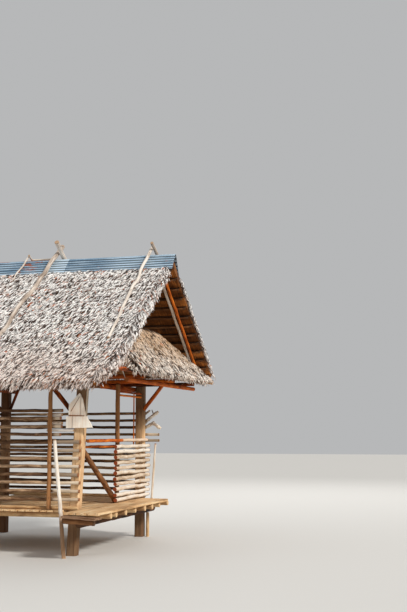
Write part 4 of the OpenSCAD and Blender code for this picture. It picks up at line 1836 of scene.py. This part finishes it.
@dataclass
class Walls:
    """Sticks of the walls, and the rail, brace and bars of the gable's openings."""

    sway: float = 0.008
    slot: str = "stick_wood"

    def build(self) -> None:
        """Make the sticks."""
        slot, sway = self.slot, self.sway
        for poles in (
            PoleSet("sticks_front", ("front_wall",), slot, Wood.SUNNY, sway, seed=2),
            PoleSet("sticks_offcut", ("front_offcuts",), "pale_wood", Wood.WORN, sway=0.004, seed=14),
            PoleSet("sticks_back", ("back_wall",), slot, Wood.STICK, sway, seed=3),
            PoleSet("sticks_left", ("left_wall",), slot, Wood.STICK, sway, seed=4),
            PoleSet(
                "sticks_half_wall",
                ("half_wall",),
                "pale_wood",
                Wood.PALE,
                sway=0.012,
                lump=0.22,
                tone=(0.4, 1.0),
                seed=5,
            ),
            PoleSet("pole_handrail", ("handrail",), "orange_wood", Wood.RAIL),
            PoleSet("pole_rail", ("opening_rail",), "orange_wood", Wood.ORANGE, seed=6),
            PoleSet("pole_brace", ("opening_brace",), "frame_wood", Wood.FRAME),
            PoleSet("poles_window", ("window_bars",), "frame_wood", Wood.ORANGE, sway=0.002),
            PoleSet("pole_stake", ("corner_stake",), "pale_wood", Wood.PALE, sway=0.004),
        ):
            poles.build()


@dataclass
class RoofPoles:
    """Rafters, ridge pole and battens, outriggers, apron poles and the roof's weights."""

    rake: float = 1.8
    rake_red: float = 1.85
    slot: str = "frame_wood"
    lath_step: float = 0.12
    lath_sway: float = 0.0005

    def build(self) -> None:
        """Make the poles."""
        slot, rafters = self.slot, ("rafters_back",)
        under, pale, red = (-FAR, self.rake), (self.rake, self.rake_red), (self.rake_red, FAR)
        sets = [
            PoleSet("rafters_under_front", ("rafters_front",), slot, Wood.FRAME, sway=0.002),
            PoleSet("rafters_under_back", rafters, slot, Wood.FRAME, sway=0.002, within=under),
            PoleSet("rafter_rake_pale", rafters, slot, Wood.WORN, within=pale),
            PoleSet("rafter_rake_red", rafters, slot, Wood.ORANGE, within=red),
            PoleSet("pole_ridge", ("ridge_pole",), slot, Wood.FRAME, sway=0.002),
        ]
        sets += [
            PoleSet(
                f"laths_{side}",
                (f"battens_{side}",),
                slot,
                Wood.FRAME,
                self.lath_sway,
                step=self.lath_step,
                sides=8,
            )
            for side in ("front", "back")
        ]
        sets += [
            PoleSet(
                f"weights_{side}",
                (f"ridge_weights_{side}",),
                "pale_wood",
                Wood.GREY,
                sway=0.026,
                lump=0.2,
                wave=1.3,
                tone=tone,
                seed=seed,
            )
            for side, tone, seed in (("front", (0.3, 0.8), 8), ("back", (0.2, 0.7), 9))
        ]
        sets.append(PoleSet("stick_ridge", ("ridge_stick",), "pale_wood", Wood.PALE, sway=0.002))
        orange = ("orange_wood", Wood.ORANGE)
        # Outriggers and apron poles get low tones: painted shade under the eaves
        sets.append(PoleSet("poles_out", ("outriggers",), *orange, sway=0.003, tone=(-0.15, 0.4)))
        for side, seed in (("right", 10), ("left", 12)):
            name = f"apron_poles_{side}"
            sets.append(
                PoleSet(f"poles_apron_{side}", (name,), *orange, 0.004, tone=(-0.1, 0.5), seed=seed)
            )
        for poles in sets:
            poles.build()


@dataclass
class LooseThings:
    """Strips on the corner boards, a hanging strand, twigs, the hanger and the leaning pole."""

    strip_top: Axis = Axis(Vector((1.07, -1.089, 1.813)), Vector((1.288, -1.089, 1.806)), 0.008, 0.007)
    strip_side: Axis = Axis(Vector((1.1, -1.083, 1.87)), Vector((1.218, -1.083, 2.06)), 0.005, 0.003)
    strand: Axis = Axis(Vector((1.9, -1.386, 2.504)), Vector((1.9, -1.206, 2.26)), 0.009, 0.005)
    twig_long: Axis = Axis(Vector((1.17, 1.645, 1.866)), Vector((1.268, 1.645, 1.936)), 0.021, 0.014)
    twig_short: Axis = Axis(Vector((1.335, 1.642, 1.858)), Vector((1.3, 1.642, 1.945)), 0.012, 0.007)

    def build(self) -> None:
        """Make the loose pieces."""
        for poles in (
            PoleSet(
                "strips_board",
                (),
                "stick_wood",
                Wood.FRAME,
                sway=0.001,
                lump=0.15,
                step=0.03,
                sides=6,
                seed=21,
                extra=(self.strip_top, self.strip_side),
            ),
            PoleSet(
                "strand_hanging",
                (),
                "thatch_grey",
                Wood.GREY,
                sway=0.02,
                lump=0.3,
                step=0.03,
                sides=6,
                seed=23,
                extra=(self.strand,),
            ),
            PoleSet(
                "twigs_corner",
                (),
                "pale_wood",
                Wood.WORN,
                lump=0.3,
                step=0.02,
                sides=8,
                seed=25,
                extra=(self.twig_long, self.twig_short),
            ),
            PoleSet("stick_hanger", ("corner_hanger",), "stick_wood", Wood.STICK, sway=0.002),
            PoleSet(
                "pole_leaning", ("leaning_pole",), "pale_wood", Wood.WORN, sway=0.014, wave=1.5, seed=13
            ),
        ):
            poles.build()


# Stage


@dataclass(frozen=True)
class Lamp:
    """One soft square lamp: where it hangs, its side in metres, its power and its colour."""

    name: str
    spot: Triple
    size: float
    power: float
    color: Color = (1.0, 1.0, 1.0)


@dataclass
class Studio:
    """Plain floor, soft light and the photo's camera."""

    eye: Triple = (6.326, -13.2105, 1.592)
    yaw: float = math.radians(15.717)
    rise: float = math.radians(7.291)
    lens: float = 58.1
    sensor: float = 36.0
    far: float = 200.0
    floor_reach: float = 60.0
    floor_color: Color = linear(206, 204, 200)
    aim: Triple = (0.0, 0.0, 1.8)
    sun_side: Triple = (9.0, -4.5, 6.7)
    sun_spread: float = math.radians(8.0)
    sun_power: float = 3.0
    sun_color: Color = (1.0, 0.97, 0.92)
    sky_color: Color = (0.86, 0.87, 0.88)
    sky_power: float = 0.55
    lamps: tuple[Lamp, ...] = (
        Lamp("fill", (-7.0, -9.0, 5.0), 7.0, 360.0, (0.95, 0.97, 1.0)),
        Lamp("back", (2.0, 14.0, 12.0), 10.0, 760.0),
    )

    def floor(self) -> None:
        """Lay the floor."""
        mesh = bpy.data.meshes.new("studio_floor")
        signs = ((-1, -1), (1, -1), (1, 1), (-1, 1))
        corners = [(x * self.floor_reach, y * self.floor_reach, 0.0) for x, y in signs]
        mesh.from_pydata(corners, [], [(0, 1, 2, 3)])
        piece = link("studio_floor", mesh)
        mesh.materials.append(Shader("studio_floor").finish(self.floor_color, 0.9))

    def light(self) -> None:
        """Hang the soft lamps, set the sun and give the room its plain light."""
        for lamp in self.lamps:
            data = bpy.data.lights.new(lamp.name, "AREA")
            data.size, data.energy, data.color = lamp.size, lamp.power, lamp.color
            piece, spot = link(lamp.name, data), Vector(lamp.spot)
            piece.location = spot
            piece.rotation_euler = (Vector(self.aim) - spot).to_track_quat("-Z", "Y").to_euler()
        sun = bpy.data.lights.new("key", "SUN")
        sun.angle, sun.energy, sun.color = self.sun_spread, self.sun_power, self.sun_color
        link("key", sun).rotation_euler = (-Vector(self.sun_side)).to_track_quat("-Z", "Y").to_euler()
        world = bpy.data.worlds.new("studio")
        world.use_nodes = True
        sky = world.node_tree.nodes["Background"]
        sky.inputs["Color"].default_value = (*self.sky_color, 1.0)
        sky.inputs["Strength"].default_value = self.sky_power
        bpy.context.scene.world = world

    def camera(self) -> None:
        """Set the camera where the photo was taken."""
        data = bpy.data.cameras.new("photo_camera")
        data.lens, data.sensor_width, data.clip_end = self.lens, self.sensor, self.far
        piece = link("photo_camera", data)
        piece.location = self.eye
        piece.rotation_euler = (math.pi / 2 + self.rise, 0.0, self.yaw)
        bpy.context.scene.camera = piece

    def build(self) -> None:
        """Set up floor, light and camera."""
        self.floor()
        self.light()
        bpy.context.scene.view_settings.view_transform = "Standard"
        self.camera()


def main() -> None:
    """Build the house's looks in order."""
    logging.basicConfig(level=logging.INFO, format="%(name)s: %(message)s")
    for woodwork in (HewnWork(), PoleFrame(), Walls(), RoofPoles(), LooseThings()):
        woodwork.build()
    roof = Roof()
    roof.build()
    bed, tan = Bed.APRON.value.material(), Leaf.TAN.value.material()
    Apron(roof, "right", 1.0, seed=161, edge_seed=202).build(bed, tan)
    Apron(roof, "left", -1.0, seed=181, edge_seed=201).build(bed, tan)
    coat(ZincSheet((roof.ridge_y(), roof.ridge_height), roof.pitch).material(), "ridge_sheets")
    Studio().build()


if __name__ == "__main__":
    main()
